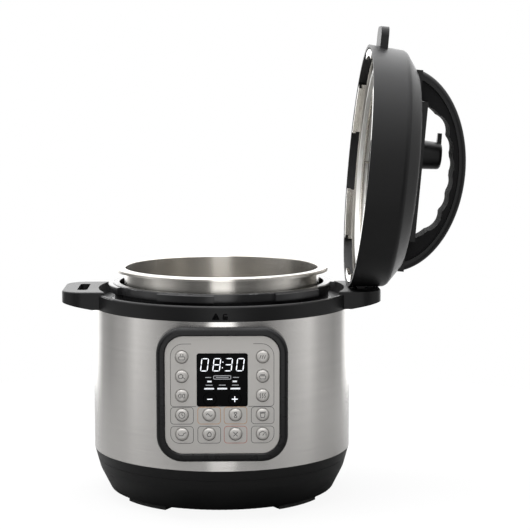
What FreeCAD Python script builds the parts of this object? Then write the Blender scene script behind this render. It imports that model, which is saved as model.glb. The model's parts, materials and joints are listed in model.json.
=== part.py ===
"""Electric pressure cooker with its lid stood open in the right handle's slot.

Millimetres, +Z up, the table at Z = 0, the pot's axis on Z, the control panel towards -Y.
Lid pieces are drawn in the lid's own frame (local Z is the lid's axis, local X runs along the handle)
and then share one placement.
"""
import FreeCAD, Part
import math
import operator
import os
from types import SimpleNamespace

import Sketcher
from FreeCAD import Placement, Rotation, Vector

# Driving dimensions: lengths in millimetres, angles in degrees
SIZES = {
    # Clearances
    "fit_gap": 0.3,
    "seat_gap": 0.2,
    # Feet, base tray and bottom plate
    "foot_height": 4.5,
    "foot_inset": 5.0,
    "foot_depth": 12.0,
    "foot_span": 28.0,
    "foot_turn": 45.0,
    "tray_height": 39.5,
    "tray_foot_step": 15.5,
    "tray_waist_step": 5.2,
    "tray_waist_drop": 19.0,
    "tray_waist_round": 25.0,
    "tray_line_drop": 9.5,
    "tray_line_depth": 0.6,
    "tray_wall": 2.5,
    "tray_ledge": 26.5,
    "spigot_height": 6.0,
    "plate_lap": 7.0,
    "plate_thickness": 1.2,
    "vent_count": 12.0,
    "vent_radius": 38.0,
    "vent_length": 26.0,
    "vent_width": 4.0,
    "vent_round": 1.8,
    "screw_head": 3.2,
    "screw_shank": 1.4,
    # Steel shell and rim ring
    "shell_height": 134.7,
    "shell_step": 0.5,
    "shell_wall": 0.8,
    "ring_height": 13.8,
    "ring_lip": 4.6,
    "ring_round": 2.0,
    "lip_round": 1.4,
    "ring_step": 3.4,
    "ring_floor_thickness": 2.5,
    "channel_width": 11.7,
    "channel_depth": 8.0,
    "ear_length": 28.5,
    "ear_half_width": 42.0,
    "ear_rise": 2.7,
    "ear_tip_thickness": 10.0,
    "ear_corner": 20.0,
    "ear_edge": 1.5,
    "slot_offset": 9.7,
    "slot_width": 9.6,
    "slot_length": 46.0,
    "slot_round": 3.4,
    # Liner, locking flange and pot
    "liner_wall": 1.2,
    "liner_round": 6.0,
    "liner_hole": 30.0,
    "flange_step": 1.7,
    "flange_wall": 4.6,
    "flange_rise": 16.5,
    "flange_rim": 1.6,
    "flange_rim_height": 7.5,
    "flange_edge": 1.0,
    "lug_count": 6.0,
    "lug_span": 29.0,
    "lug_turn": 11.5,
    "lug_depth": 5.8,
    "lug_drop": 0.8,
    "pot_radius": 92.5,
    "pot_gap": 3.0,
    "pot_wall": 1.0,
    "pot_rise": 14.0,
    "pot_depth": 120.0,
    "pot_corner": 14.0,
    "pot_lip": 9.0,
    "pot_lip_drop": 3.0,
    "pot_lip_round": 1.4,
    "pot_neck_round": 1.0,
    "disc_inset": 16.5,
    "disc_thickness": 4.0,
    "disc_edge": 2.0,
    # Heater and sensor
    "heater_space": 23.0,
    "heater_inset": 15.5,
    "heater_thickness": 9.0,
    "heater_edge": 2.0,
    "tube_inset": 13.0,
    "tube_radius": 3.2,
    "tube_leg_radius": 2.6,
    "tube_sweep": 300.0,
    "spacer_radius": 4.0,
    "spacer_inset": 12.0,
    "sensor_radius": 14.4,
    "sensor_play": 0.8,
    "sensor_height": 8.0,
    "sensor_wall": 1.2,
    "sensor_edge": 1.5,
    "holder_wall": 2.0,
    "holder_height": 12.0,
    "spring_radius": 8.5,
    "spring_wire": 0.6,
    "spring_turns": 4.0,
    "fuse_radius": 3.0,
    "fuse_length": 20.0,
    "fuse_inset": 19.0,
    # Power board and inlet
    "board_length": 84.0,
    "board_width": 60.0,
    "board_thickness": 1.6,
    "board_post": 14.0,
    "board_post_radius": 3.0,
    "board_offset": -18.0,
    "inlet_width": 28.0,
    "inlet_height": 22.0,
    "inlet_corner": 2.0,
    "inlet_depth": 24.0,
    "inlet_drop": 18.0,
    "inlet_stand": 2.2,
    "inlet_mouth_width": 24.2,
    "inlet_mouth_height": 16.4,
    "inlet_mouth_depth": 17.0,
    "pin_width": 4.0,
    "pin_thickness": 2.0,
    "pin_length": 14.0,
    "pin_pitch": 7.0,
    # Control panel
    "panel_lift": 2.55,
    "panel_width": 117.0,
    "panel_margin": 6.85,
    "panel_corner": 24.0,
    "panel_stand": 4.0,
    "bezel_band": 7.5,
    "bezel_round": 3.6,
    "bezel_inner_round": 1.2,
    "face_recess": 1.6,
    "face_thickness": 2.0,
    "frame_wall": 1.6,
    "frame_depth": 20.0,
    "boss_inset": 7.0,
    "boss_radius": 4.0,
    "window_width": 45.0,
    "window_rise": 3.0,
    "window_gap": 1.4,
    "window_corner": 2.0,
    "module_inset": 3.0,
    "module_depth": 6.0,
    "control_inset": 4.0,
    "control_depth": 16.0,
    "panel_screw_radius": 2.8,
    "key_radius": 5.75,
    "key_proud": 1.4,
    "key_dome": 2.6,
    "key_lip": 1.0,
    "key_lip_thickness": 1.2,
    "key_travel": 0.5,
    "key_row_inset": 18.7,
    "key_row_foot": 17.9,
    "key_outer_inset": 15.2,
    "key_inner_column": 11.7,
    "set_key_proud": 0.2,
    "set_key_round": 0.3,
    "set_key_margin": 0.55,
    "set_key_column": 11.1,
    "switch_side": 6.0,
    # Drip cup at the back
    "cup_gap": 1.0,
    "cup_width": 46.0,
    "cup_depth": 20.0,
    "cup_height": 42.0,
    "cup_wall": 1.5,
    "cup_corner": 5.0,
    "cup_lip": 3.0,
    "cup_lip_height": 1.8,
    "cup_drain": 4.0,
    "rail_wall": 2.4,
    "rail_inset": 2.7,
    "rail_drop": 5.0,
    "rail_root": 12.0,
    # Lid, in its own frame
    "lid_lean": 5.0,
    "lid_draft": 2.8,
    "lid_skirt": 34.0,
    "lid_shoulder": 7.0,
    "lid_wall": 2.8,
    "cone_width": 19.0,
    "cone_rise": 13.0,
    "dome_width": 45.0,
    "dome_rise": 5.5,
    "lid_screw_circle": 60.0,
    "lid_boss_radius": 5.0,
    "fin_length": 17.7,
    "fin_set": 7.4,
    "fin_width": 40.0,
    "fin_thickness": 7.4,
    "fin_height": 12.3,
    "fin_corner": 9.0,
    "rail_half_width": 20.0,
    "rail_rise": 6.1,
    "rail_edge": 1.0,
    "seat_rise": 3.8,
    "steel_clearance": 3.0,
    "steel_gap": 0.1,
    "steel_wall": 1.0,
    "steel_edge": 0.4,
    "steel_notch": 7.5,
    "steel_ledge": 18.8,
    "steel_step": 6.0,
    "steel_slope": 7.0,
    "steel_lug_depth": 6.4,
    "steel_lug_height": 3.0,
    "seal_margin": 8.0,
    "seal_width": 8.0,
    "seal_height": 9.6,
    "seal_play": 0.6,
    "seal_lip": 3.0,
    "seal_lip_height": 2.0,
    "seal_bevel": 1.0,
    "rack_wire": 1.4,
    "rack_post_radius": 1.1,
    # Handle over the lid
    "handle_overhang": 4.0,
    "handle_foot": 31.0,
    "handle_lift": 2.0,
    "handle_rise": 65.0,
    "handle_width": 33.0,
    "handle_round": 5.0,
    "seat_inset": 2.0,
    "cover_side": 8.0,
    "cover_top": 7.0,
    "grip_lift": 14.0,
    "grip_thickness": 5.4,
    "grip_overlap": 1.5,
    "grip_width": 30.0,
    "finger_count": 6.0,
    "finger_pitch": 15.5,
    "finger_radius": 17.0,
    "finger_depth": 1.1,
    # Steam valve and float valve
    "valve_along": 15.0,
    "valve_side": -25.0,
    "valve_boss": 15.0,
    "pipe_radius": 4.5,
    "pipe_bore": 2.0,
    "pipe_bevel": 1.0,
    "pipe_drop": 6.8,
    "pipe_rise": 4.4,
    "knob_radius": 14.2,
    "knob_end": 12.8,
    "knob_round": 3.4,
    "knob_clearance": 20.0,
    "knob_cap": 5.0,
    "knob_lever": 22.0,
    "knob_lever_half": 5.0,
    "knob_lever_thickness": 4.0,
    "knob_lever_round": 1.5,
    "plunger_point": 2.0,
    "shield_radius": 13.0,
    "shield_wall": 1.0,
    "shield_height": 11.0,
    "shield_slots": 8.0,
    "float_along": -20.0,
    "float_side": -27.0,
    "float_boss": 8.0,
    "float_boss_rise": 3.5,
    "float_radius": 3.0,
    "float_head": 4.6,
    "float_head_height": 2.0,
    "float_rise": 3.0,
    "float_bevel": 0.6,
    "float_travel": 5.0,
    "float_cap_height": 4.0,
    "float_cap_wall": 1.2,
}

KEY_COLUMNS = {
    "left": ("key_soup", "key_meat", "key_bean", "key_slow_cook", "key_saute"),
    "right": ("key_rice", "key_porridge", "key_steam", "key_yogurt", "key_pressure_cook"),
}
MIDDLE_KEYS = ("key_pressure_level", "key_delay_start", "key_keep_warm", "key_cancel")
MIDDLE_ROW = 3
SET_KEYS = ("key_minus", "key_plus")
NEAR = 0.01

ARITHMETIC = {"+": operator.add, "-": operator.sub, "*": operator.mul, "/": operator.truediv}


class Size(float):
    """A number that remembers how it is worked out from the sheet's cells."""

    def __new__(cls, value, text):
        size = super().__new__(cls, value)
        size.text = text
        return size

    def __add__(self, other):
        return worked_out(self, "+", other)

    def __radd__(self, other):
        return worked_out(other, "+", self)

    def __sub__(self, other):
        return worked_out(self, "-", other)

    def __rsub__(self, other):
        return worked_out(other, "-", self)

    def __mul__(self, other):
        return worked_out(self, "*", other)

    def __rmul__(self, other):
        return worked_out(other, "*", self)

    def __truediv__(self, other):
        return worked_out(self, "/", other)

    def __neg__(self):
        return worked_out(0, "-", self)


def text_of(value):
    return getattr(value, "text", repr(float(value)))


def worked_out(left, sign, right):
    value = ARITHMETIC[sign](float(left), float(right))
    return Size(value, f"({text_of(left)} {sign} {text_of(right)})")


def make_sheet():
    """Write the driving dimensions to the sheet and hand them back by name."""
    sheet = doc.addObject("Spreadsheet::Sheet", "Sizes")
    for row, (alias, value) in enumerate(SIZES.items(), start=1):
        sheet.set(f"A{row}", alias.replace("_", " "))
        sheet.set(f"B{row}", str(value))
        sheet.setAlias(f"B{row}", alias)
    doc.recompute()
    return SimpleNamespace(**{alias: Size(value, f"Sizes.{alias}") for alias, value in SIZES.items()})


doc = FreeCAD.newDocument("PressureCooker")
s = make_sheet()

# Sizes that follow from the driving ones: radii from the pot outwards

s.liner_radius = s.pot_radius + s.pot_gap
s.flange_inner = s.liner_radius + s.flange_step
s.flange_neck = s.flange_inner + s.flange_wall
s.flange_radius = s.flange_neck + s.lug_depth
s.ring_inner_radius = s.flange_neck + s.ring_step
s.lip_inner = s.ring_inner_radius + s.channel_width
s.ring_radius = s.lip_inner + s.ring_lip
s.shell_radius = s.ring_radius + s.shell_step
s.shell_inside = s.shell_radius - s.shell_wall - s.fit_gap
s.ear_reach = s.ring_radius + s.ear_length
s.slot_centre = s.ring_radius + s.slot_offset
s.tray_waist_radius = s.shell_radius - s.tray_waist_step
s.tray_foot_radius = s.shell_radius - s.tray_foot_step
s.tray_opening_radius = s.tray_foot_radius - s.tray_ledge
s.foot_radius = s.tray_foot_radius - s.foot_inset
s.plate_radius = s.tray_opening_radius + s.plate_lap
s.base_screw_radius = s.tray_opening_radius + s.plate_lap / 2
s.pot_lip_radius = s.pot_radius + s.pot_lip
s.disc_radius = s.pot_radius - s.disc_inset
s.heater_radius = s.liner_radius - s.heater_inset
s.heater_hole = s.sensor_radius + s.sensor_play
s.spacer_circle = s.heater_radius - s.spacer_inset
s.tube_ring_radius = s.spacer_circle - s.tube_inset
s.fuse_circle = s.tube_ring_radius - s.fuse_inset
s.inlet_face = s.tray_waist_radius + s.inlet_stand
s.cup_back = s.shell_radius + s.cup_gap

# Heights from the table upwards

s.tray_floor_top = s.foot_height + s.tray_wall
s.tray_top_height = s.foot_height + s.tray_height
s.tray_waist_height = s.tray_top_height - s.tray_waist_drop
s.tray_line_height = s.tray_top_height - s.tray_line_drop
s.plate_bottom = s.foot_height - s.plate_thickness
s.board_bottom = s.foot_height + s.board_post
s.board_top = s.board_bottom + s.board_thickness
s.inlet_centre = s.tray_top_height - s.inlet_drop
s.shell_top = s.tray_top_height + s.shell_height
s.rail_top = s.shell_top - s.rail_inset
s.ring_top = s.shell_top + s.ring_height
s.ring_floor_top = s.ring_top - s.channel_depth
s.ear_top = s.ring_top + s.ear_rise
s.liner_top = s.ring_floor_top - s.ring_floor_thickness
s.flange_top = s.ring_floor_top + s.flange_rise
s.pot_top = s.flange_top + s.pot_rise
s.pot_bottom = s.pot_top - s.pot_depth
s.liner_bottom = s.pot_bottom - s.heater_space
s.liner_floor_top = s.liner_bottom + s.liner_wall
s.heater_top = s.pot_bottom - s.seat_gap
s.heater_bottom = s.heater_top - s.heater_thickness

# The panel, across and up from its middle and inwards from its front

s.panel_front = s.shell_radius + s.panel_stand
s.panel_centre = s.tray_top_height + s.shell_height / 2 + s.panel_lift
s.panel_height = s.shell_height - 2 * s.panel_margin
s.face_width = s.panel_width - 2 * s.bezel_band
s.face_height = s.panel_height - 2 * s.bezel_band
s.face_corner = s.panel_corner - s.bezel_band
s.face_front = s.panel_front - s.face_recess
s.face_back = s.face_front - s.face_thickness
s.frame_width = s.face_width + 2 * s.frame_wall
s.frame_height = s.face_height + 2 * s.frame_wall
s.frame_corner = s.face_corner + s.frame_wall
s.frame_back = s.panel_front - s.frame_depth
s.control_width = s.face_width - 2 * s.control_inset
s.control_height = s.face_height - 2 * s.control_inset
s.control_front = s.panel_front - s.control_depth
s.control_back = s.control_front - s.board_thickness
s.boss_x = s.face_width / 2 - s.boss_inset
s.boss_z = s.face_height / 2 - s.boss_inset
s.key_hole = s.key_radius + s.fit_gap
s.key_outer_column = s.face_width / 2 - s.key_outer_inset
s.key_row_top = s.panel_centre + s.face_height / 2 - s.key_row_inset
s.key_row_pitch = (s.face_height - s.key_row_inset - s.key_row_foot) / (len(KEY_COLUMNS["left"]) - 1)
s.window_top = s.key_row_top + s.window_rise
s.window_bottom = s.key_row_top - s.key_row_pitch * MIDDLE_ROW + s.key_hole + s.window_gap
s.window_height = s.window_top - s.window_bottom
s.window_centre = (s.window_top + s.window_bottom) / 2
s.set_key_row = s.window_bottom + s.key_hole + s.set_key_margin

# The lid, in its own frame: radii from the flange outwards, heights from the rim

s.steel_radius = s.flange_radius + s.steel_clearance
s.steel_lug_inner = s.steel_radius - s.steel_lug_depth
s.seal_outer = s.steel_radius - s.seal_margin
s.seal_inner = s.seal_outer - s.seal_width
s.steel_disc_radius = s.seal_inner - s.seal_play - s.steel_slope
s.rack_circle = s.seal_inner - s.rack_wire - s.seat_gap
s.steel_bend = s.steel_ledge - 4 * s.steel_wall
s.lid_inside_height = s.lid_skirt - s.lid_wall / 2
s.draft_at_bend = s.lid_draft * ((s.steel_bend + s.steel_wall / 2) / s.lid_inside_height)
s.lid_radius = s.steel_radius + s.steel_gap + s.draft_at_bend + s.lid_wall
s.lid_cone_radius = s.lid_radius - s.lid_draft - s.cone_width
s.lid_dome_radius = s.lid_cone_radius - s.dome_width
s.fin_reach = s.lid_radius + s.fin_length
s.handle_half_length = s.lid_cone_radius + s.handle_overhang
s.seat_half_length = s.handle_half_length - s.seat_inset
s.rail_half_length = s.handle_half_length - s.handle_foot
s.grip_half_length = s.rail_half_length - s.grip_overlap
s.steel_disc = s.steel_ledge + s.steel_step
s.lid_cone_height = s.lid_skirt + s.cone_rise
s.lid_dome_height = s.lid_cone_height + s.dome_rise
s.seat_height = s.lid_cone_height + s.seat_rise
s.rail_height = s.lid_dome_height + s.rail_rise
s.handle_centre = s.lid_skirt + s.handle_lift
s.grip_centre = s.handle_centre + s.grip_lift
s.grip_rise = s.handle_centre + s.handle_rise - s.cover_top - s.grip_thickness - s.grip_centre
s.pipe_bottom = s.steel_disc - s.pipe_drop
s.pipe_top = s.rail_height + s.pipe_rise
s.knob_bottom = s.rail_height + s.fit_gap
s.knob_top = s.handle_centre + s.handle_rise - s.knob_clearance
s.knob_bore = s.pipe_radius + s.fit_gap
s.float_boss_top = s.lid_dome_height + s.float_boss_rise
s.float_top = s.lid_dome_height + s.float_rise
s.float_rest = s.steel_disc - s.float_travel - s.fit_gap


# Helpers: bound values, sketches and features

def bind(item, **sizes):
    """Set properties, tying those that come from the sheet to it."""
    for name, value in sizes.items():
        setattr(item, name, value)
        if isinstance(value, Size):
            item.setExpression(name, value.text)


def put(item, x=0, y=0, z=0, turn=None):
    """Place an object, with its position tied to the sheet."""
    item.Placement = Placement(Vector(x, y, z), turn or Rotation())
    for axis, value in zip("xyz", (x, y, z)):
        if isinstance(value, Size):
            item.setExpression(f".Placement.Base.{axis}", value.text)
    return item


def new_body(label):
    body = doc.addObject("PartDesign::Body", label)
    body.Label = label
    return body


def origin_item(body, role):
    return next(item for item in body.Origin.OriginFeatures if item.Role == role)


def new_sketch(body, plane, offset=0):
    sketch = body.newObject("Sketcher::SketchObject", f"{body.Name}_sketch")
    sketch.AttachmentSupport = [(origin_item(body, plane), "")]
    sketch.MapMode = "FlatFace"
    sketch.AttachmentOffset = Placement(Vector(0, 0, offset), Rotation())
    if isinstance(offset, Size):
        sketch.setExpression(".AttachmentOffset.Base.z", offset.text)
    return sketch


def constrain(sketch, kind, *where, size=None):
    if size is None:
        sketch.addConstraint(Sketcher.Constraint(kind, *where))
        return
    index = sketch.addConstraint(Sketcher.Constraint(kind, *where, float(size)))
    if isinstance(size, Size):
        sketch.setExpression(f"Constraints[{index}]", size.text)


def locate(sketch, item, point, x, y):
    """Hold a sketch point at x, y from the sketch's origin."""
    for kind, axis, value in (("DistanceX", -2, x), ("DistanceY", -1, y)):
        if float(value) == 0:
            constrain(sketch, "PointOnObject", item, point, axis)
        elif value > 0:
            constrain(sketch, kind, -1, 1, item, point, size=value)
        else:
            constrain(sketch, kind, item, point, -1, 1, size=-value)


def corner_ends(before, here, after, radius):
    """Where a rounding starts and ends on the two sides of a corner, and its centre."""
    into = (before - here).normalize()
    out = (after - here).normalize()
    half = into.getAngle(out) / 2
    reach = radius / math.tan(half)
    middle = (into + out).normalize() * (radius / math.sin(half))
    return here + into * reach, here + out * reach, here + middle


def draw(sketch, corners):
    """A closed outline through corners (x, y) or rounded corners (x, y, radius)."""
    spots = [Vector(corner[0], corner[1], 0) for corner in corners]
    count = len(corners)
    ends = []
    for index, corner in enumerate(corners):
        here = spots[index]
        if len(corner) == 3:
            ends.append(corner_ends(spots[index - 1], here, spots[(index + 1) % count], float(corner[2])))
        else:
            ends.append((here, here, None))
    lines = [
        sketch.addGeometry(Part.LineSegment(ends[index][1], ends[(index + 1) % count][0]))
        for index in range(count)
    ]
    for index, corner in enumerate(corners):
        into, out = lines[index - 1], lines[index]
        start, stop, centre = ends[index]
        if centre is None:
            constrain(sketch, "Coincident", into, 2, out, 1)
            locate(sketch, out, 1, corner[0], corner[1])
            continue
        turn = (spots[index] - spots[index - 1]).cross(spots[(index + 1) % count] - spots[index]).z
        first, last = (start, stop) if turn > 0 else (stop, start)
        circle = Part.Circle(centre, Vector(0, 0, 1), float(corner[2]))
        angles = [math.atan2(spot.y - centre.y, spot.x - centre.x) for spot in (first, last)]
        arc = sketch.addGeometry(Part.ArcOfCircle(circle, *angles))
        begin, finish = (1, 2) if turn > 0 else (2, 1)
        mark = sketch.addGeometry(Part.Point(spots[index]), True)
        locate(sketch, mark, 1, corner[0], corner[1])
        constrain(sketch, "PointOnObject", mark, 1, into)
        constrain(sketch, "PointOnObject", mark, 1, out)
        constrain(sketch, "Tangent", into, 2, arc, begin)
        constrain(sketch, "Tangent", out, 1, arc, finish)
        constrain(sketch, "Radius", arc, size=corner[2])


def draw_circle(sketch, x, y, radius):
    circle = sketch.addGeometry(Part.Circle(Vector(x, y, 0), Vector(0, 0, 1), float(radius)))
    locate(sketch, circle, 3, x, y)
    constrain(sketch, "Radius", circle, size=radius)


def box_corners(x, y, width, height, radius=None):
    """Corners of a rectangle about x, y, rounded where a radius is given."""
    sides = ((-1, -1), (1, -1), (1, 1), (-1, 1))
    extra = () if radius is None else (radius,)
    return [(x + width * (a / 2), y + height * (b / 2), *extra) for a, b in sides]


def feature(body, kind, sketch, **sizes):
    item = body.newObject(f"PartDesign::{kind}", f"{body.Name}_{kind}")
    item.Profile = sketch
    bind(item, **sizes)
    return item


def revolve(body, corners, angle=360.0):
    """Turn a profile (radius, height) about the body's Z axis, evenly both ways from the X axis."""
    sketch = new_sketch(body, "XZ_Plane")
    draw(sketch, corners)
    item = feature(body, "Revolution", sketch, Angle=angle)
    item.ReferenceAxis = (sketch, ["V_Axis"])
    item.Midplane = True
    return item


def pad(body, plane, outlines, length, offset=0, both=False, reverse=False):
    """Extrude outlines: lists of corners, or circles as (x, y, radius) tuples."""
    return feature(body, "Pad", drawn(body, plane, outlines, offset), Length=length, Midplane=both,
                   Reversed=reverse)


def drawn(body, plane, outlines, offset):
    sketch = new_sketch(body, plane, offset)
    for outline in outlines:
        if isinstance(outline, tuple):
            draw_circle(sketch, *outline)
        else:
            draw(sketch, outline)
    return sketch


def must_cut(body, make):
    """Run a cutting step and make sure that it took material away."""
    doc.recompute()
    before = body.Shape.Volume
    item = make()
    doc.recompute()
    if not body.Shape.Volume < before - 1e-6:
        raise RuntimeError(f"{body.Label}: {item.Name} cut nothing")
    return item


def pocket(body, plane, outlines, length=None, offset=0, both=False, reverse=False):
    """Cut outlines to a depth, or right through when no length is given."""
    def make():
        sketch = drawn(body, plane, outlines, offset)
        item = feature(body, "Pocket", sketch, Midplane=both, Reversed=reverse)
        if length is None:
            item.Type = "ThroughAll"
        else:
            bind(item, Length=length)
        return item
    return must_cut(body, make)


def groove(body, corners):
    """Turn a profile about the body's Z axis and cut it away."""
    def make():
        sketch = new_sketch(body, "XZ_Plane")
        draw(sketch, corners)
        item = feature(body, "Groove", sketch, Angle=360.0)
        item.ReferenceAxis = (sketch, ["V_Axis"])
        return item
    return must_cut(body, make)


def around(body, item, count):
    """Repeat a feature evenly about the body's Z axis."""
    pattern = body.newObject("PartDesign::PolarPattern", f"{body.Name}_pattern")
    pattern.Originals = [item]
    pattern.Axis = (origin_item(body, "Z_Axis"), [""])
    bind(pattern, Angle=360.0)
    pattern.Occurrences = int(count)
    pattern.setExpression("Occurrences", text_of(count))
    body.Tip = pattern
    return pattern


def round_edges(body, radius, wanted):
    """Fillet the edges whose middle passes the test."""
    doc.recompute()
    base = body.Tip
    item = body.newObject("PartDesign::Fillet", f"{body.Name}_fillet")
    item.Base = (base, [f"Edge{index}" for index in edges_with(base.Shape, wanted)])
    bind(item, Radius=radius)
    return item


def edges_with(shape, wanted):
    """Numbers of the edges whose middle passes the test."""
    return [
        index for index, edge in enumerate(shape.Edges, start=1)
        if wanted(edge.valueAt((edge.FirstParameter + edge.LastParameter) / 2))
    ]


def part(kind, name, **sizes):
    """A solid primitive tied to the sheet."""
    item = doc.addObject(f"Part::{kind}", name)
    bind(item, **sizes)
    return item


def block(name, x, y, z, length, width, height):
    """A box centred on x and y that stands on z."""
    return put(part("Box", name, Length=length, Width=width, Height=height), x - length / 2, y - width / 2, z)


def post(name, x, y, z, radius, height):
    return put(part("Cylinder", name, Radius=radius, Height=height), x, y, z)


def joined(label, items):
    fused = doc.addObject("Part::MultiFuse", label)
    fused.Shapes = items
    fused.Label = label
    return fused


def grouped(label, items):
    """Separate like solids kept as one named group."""
    group = doc.addObject("Part::Compound", label)
    group.Links = items
    group.Label = label
    return group


def less(label, base, tool):
    cut = doc.addObject("Part::Cut", label)
    cut.Base = base
    cut.Tool = tool
    cut.Label = label
    return cut


def polar(radius, degrees):
    """A point at a radius and an angle, tied to the sheet through the radius."""
    return radius * math.cos(math.radians(degrees)), radius * math.sin(math.radians(degrees))


# Base: feet, tray, bottom plate and its screws

BASE_SCREW_ANGLES = (0, 90, 180, 270)


def make_feet():
    body = new_body("rubber_feet")
    inner = s.foot_radius - s.foot_depth
    foot = revolve(body, [(inner, 0), (s.foot_radius, 0), (s.foot_radius, s.foot_height),
                          (inner, s.foot_height)], angle=s.foot_span)
    around(body, foot, 4)
    body.Placement = Placement(Vector(), Rotation(Vector(0, 0, 1), float(s.foot_turn)))
    body.setExpression(".Placement.Rotation.Angle", s.foot_turn.text)
    return body


def make_tray():
    """Plastic base: a rounded skirt with a floor ledge, a spigot for the shell and the inlet's window."""
    body = new_body("base_tray")
    spigot_inner = s.shell_inside - s.tray_wall
    spigot_top = s.tray_top_height + s.spigot_height
    revolve(body, [
        (s.tray_opening_radius, s.foot_height),
        (s.tray_foot_radius, s.foot_height, s.tray_wall),
        (s.tray_waist_radius, s.tray_waist_height, s.tray_waist_round),
        (s.shell_radius, s.tray_top_height),
        (s.shell_inside, s.tray_top_height),
        (s.shell_inside, spigot_top),
        (spigot_inner, spigot_top),
        (spigot_inner, s.tray_top_height),
        (s.tray_waist_radius - s.tray_wall, s.tray_waist_height, s.tray_waist_round),
        (s.tray_foot_radius - s.tray_wall, s.tray_floor_top),
        (s.tray_opening_radius, s.tray_floor_top),
    ])
    share = (s.tray_waist_drop - s.tray_line_drop) / s.tray_waist_drop
    line_radius = s.tray_waist_radius + s.tray_waist_step * share
    groove(body, [(line_radius - s.tray_line_depth, s.tray_line_height),
                  (s.shell_radius, s.tray_line_height - s.tray_line_depth),
                  (s.shell_radius, s.tray_line_height + s.tray_line_depth)])
    window = box_corners(0, s.inlet_centre, s.inlet_width + 2 * s.fit_gap, s.inlet_height + 2 * s.fit_gap)
    pocket(body, "XZ_Plane", [window], length=s.shell_radius)
    return body


def make_bottom_plate():
    """Pressed metal plate with radial vents, screw holes and the posts of the power board."""
    body = new_body("bottom_plate")
    hole = s.screw_shank + s.seat_gap
    holes = [(*polar(s.base_screw_radius, angle), hole) for angle in BASE_SCREW_ANGLES]
    pad(body, "XY_Plane", [(0, 0, s.plate_radius), *holes], s.plate_thickness, offset=s.plate_bottom)
    vent = box_corners(s.vent_radius + s.vent_length / 2, 0, s.vent_length, s.vent_width, s.vent_round)
    slot = pocket(body, "XY_Plane", [vent], reverse=True)
    around(body, slot, s.vent_count)
    x, y = s.board_length / 2 - s.board_post_radius * 2, s.board_width / 2 - s.board_post_radius * 2
    posts = [(s.board_offset + x * a, y * b, s.board_post_radius) for a in (-1, 1) for b in (-1, 1)]
    pad(body, "XY_Plane", posts, s.board_post + s.plate_thickness, offset=s.plate_bottom)
    return body


def make_base_screws():
    screws = []
    bottom = s.plate_bottom - s.plate_thickness
    for index, angle in enumerate(BASE_SCREW_ANGLES):
        x, y = polar(s.base_screw_radius, angle)
        head = post(f"base_screw_head{index}", x, y, bottom, s.screw_head, s.plate_thickness)
        shank = post(f"base_screw_shank{index}", x, y, bottom, s.screw_shank, s.plate_thickness * 2)
        screws.append(joined(f"base_screw{index}", [head, shank]))
    return grouped("base_screws", screws)


# Steel shell and rim ring

def make_shell():
    """Rolled steel jacket with the panel's window."""
    body = new_body("outer_shell")
    inner = s.shell_radius - s.shell_wall
    revolve(body, [(inner, s.tray_top_height), (s.shell_radius, s.tray_top_height),
                   (s.shell_radius, s.shell_top), (inner, s.shell_top)])
    window = box_corners(0, s.panel_centre, s.frame_width + 2 * s.fit_gap, s.frame_height + 2 * s.fit_gap,
                         s.frame_corner + s.fit_gap)
    pocket(body, "XZ_Plane", [window], length=s.panel_front, reverse=True)
    return body


def make_ring():
    """Rim ring with its drip channel and two ears, each with a slot that holds the opened lid."""
    body = new_body("rim_ring")
    skirt_inner = s.shell_inside - s.tray_wall
    skirt_bottom = s.shell_top - s.spigot_height
    revolve(body, [
        (skirt_inner, skirt_bottom), (s.shell_inside, skirt_bottom), (s.shell_inside, s.shell_top),
        (s.ring_radius, s.shell_top), (s.ring_radius, s.ring_top, s.ring_round),
        (s.lip_inner, s.ring_top, s.lip_round), (s.lip_inner, s.ring_floor_top),
        (s.ring_inner_radius, s.ring_floor_top), (s.ring_inner_radius, s.liner_top),
        (skirt_inner, s.liner_top),
    ])
    inside = s.ring_inner_radius
    for side in (1, -1):
        ear = [(inside * side, -s.ear_half_width), (s.ear_reach * side, -s.ear_half_width, s.ear_corner),
               (s.ear_reach * side, s.ear_half_width, s.ear_corner), (inside * side, s.ear_half_width)]
        pad(body, "XY_Plane", [ear if side > 0 else ear[::-1]], s.ear_top - s.shell_top, offset=s.shell_top)
        tip = (s.ear_reach + s.ring_lip) * side
        slope = [(s.ring_radius * side, s.shell_top - s.ring_lip), (tip, s.shell_top - s.ring_lip),
                 (tip, s.ear_top - s.ear_tip_thickness), (s.ring_radius * side, s.shell_top)]
        pocket(body, "XZ_Plane", [slope if side > 0 else slope[::-1]], length=s.ear_reach, both=True)
    above = s.ear_top + s.ring_lip
    groove(body, [(0, s.ring_floor_top), (s.lip_inner, s.ring_floor_top), (s.lip_inner, above), (0, above)])
    groove(body, [(0, skirt_bottom), (skirt_inner, skirt_bottom), (skirt_inner, s.liner_top),
                  (0, s.liner_top)])
    round_edges(body, s.ear_edge, lambda middle: abs(middle.z - s.ear_top) < NEAR
                and math.hypot(middle.x, middle.y) > s.ring_radius)
    grip_start = s.slot_centre + s.slot_width / 2 + s.tray_wall
    grip_end = s.ear_reach - s.tray_wall
    for side in (1, -1):
        slot = box_corners(s.slot_centre * side, 0, s.slot_width, s.slot_length, s.slot_round)
        pocket(body, "XY_Plane", [slot], reverse=True)
        hollow = box_corners((grip_start + grip_end) * (side / 2), 0, grip_end - grip_start, s.slot_length)
        pocket(body, "XY_Plane", [hollow], length=s.ear_top - s.tray_wall, reverse=True)
    return body


# Liner, locking flange and pot

def make_liner():
    """Pressed liner that hangs from the rim ring and carries the heater."""
    body = new_body("outer_pot")
    outer = s.liner_radius + s.liner_wall
    flange = s.ring_inner_radius + s.ring_lip
    under = s.liner_top - s.liner_wall
    revolve(body, [
        (s.liner_hole, s.liner_bottom), (outer, s.liner_bottom, s.liner_round), (outer, under),
        (flange, under), (flange, s.liner_top), (s.liner_radius, s.liner_top),
        (s.liner_radius, s.liner_floor_top, s.liner_round - s.liner_wall), (s.liner_hole, s.liner_floor_top),
    ])
    return body


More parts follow.
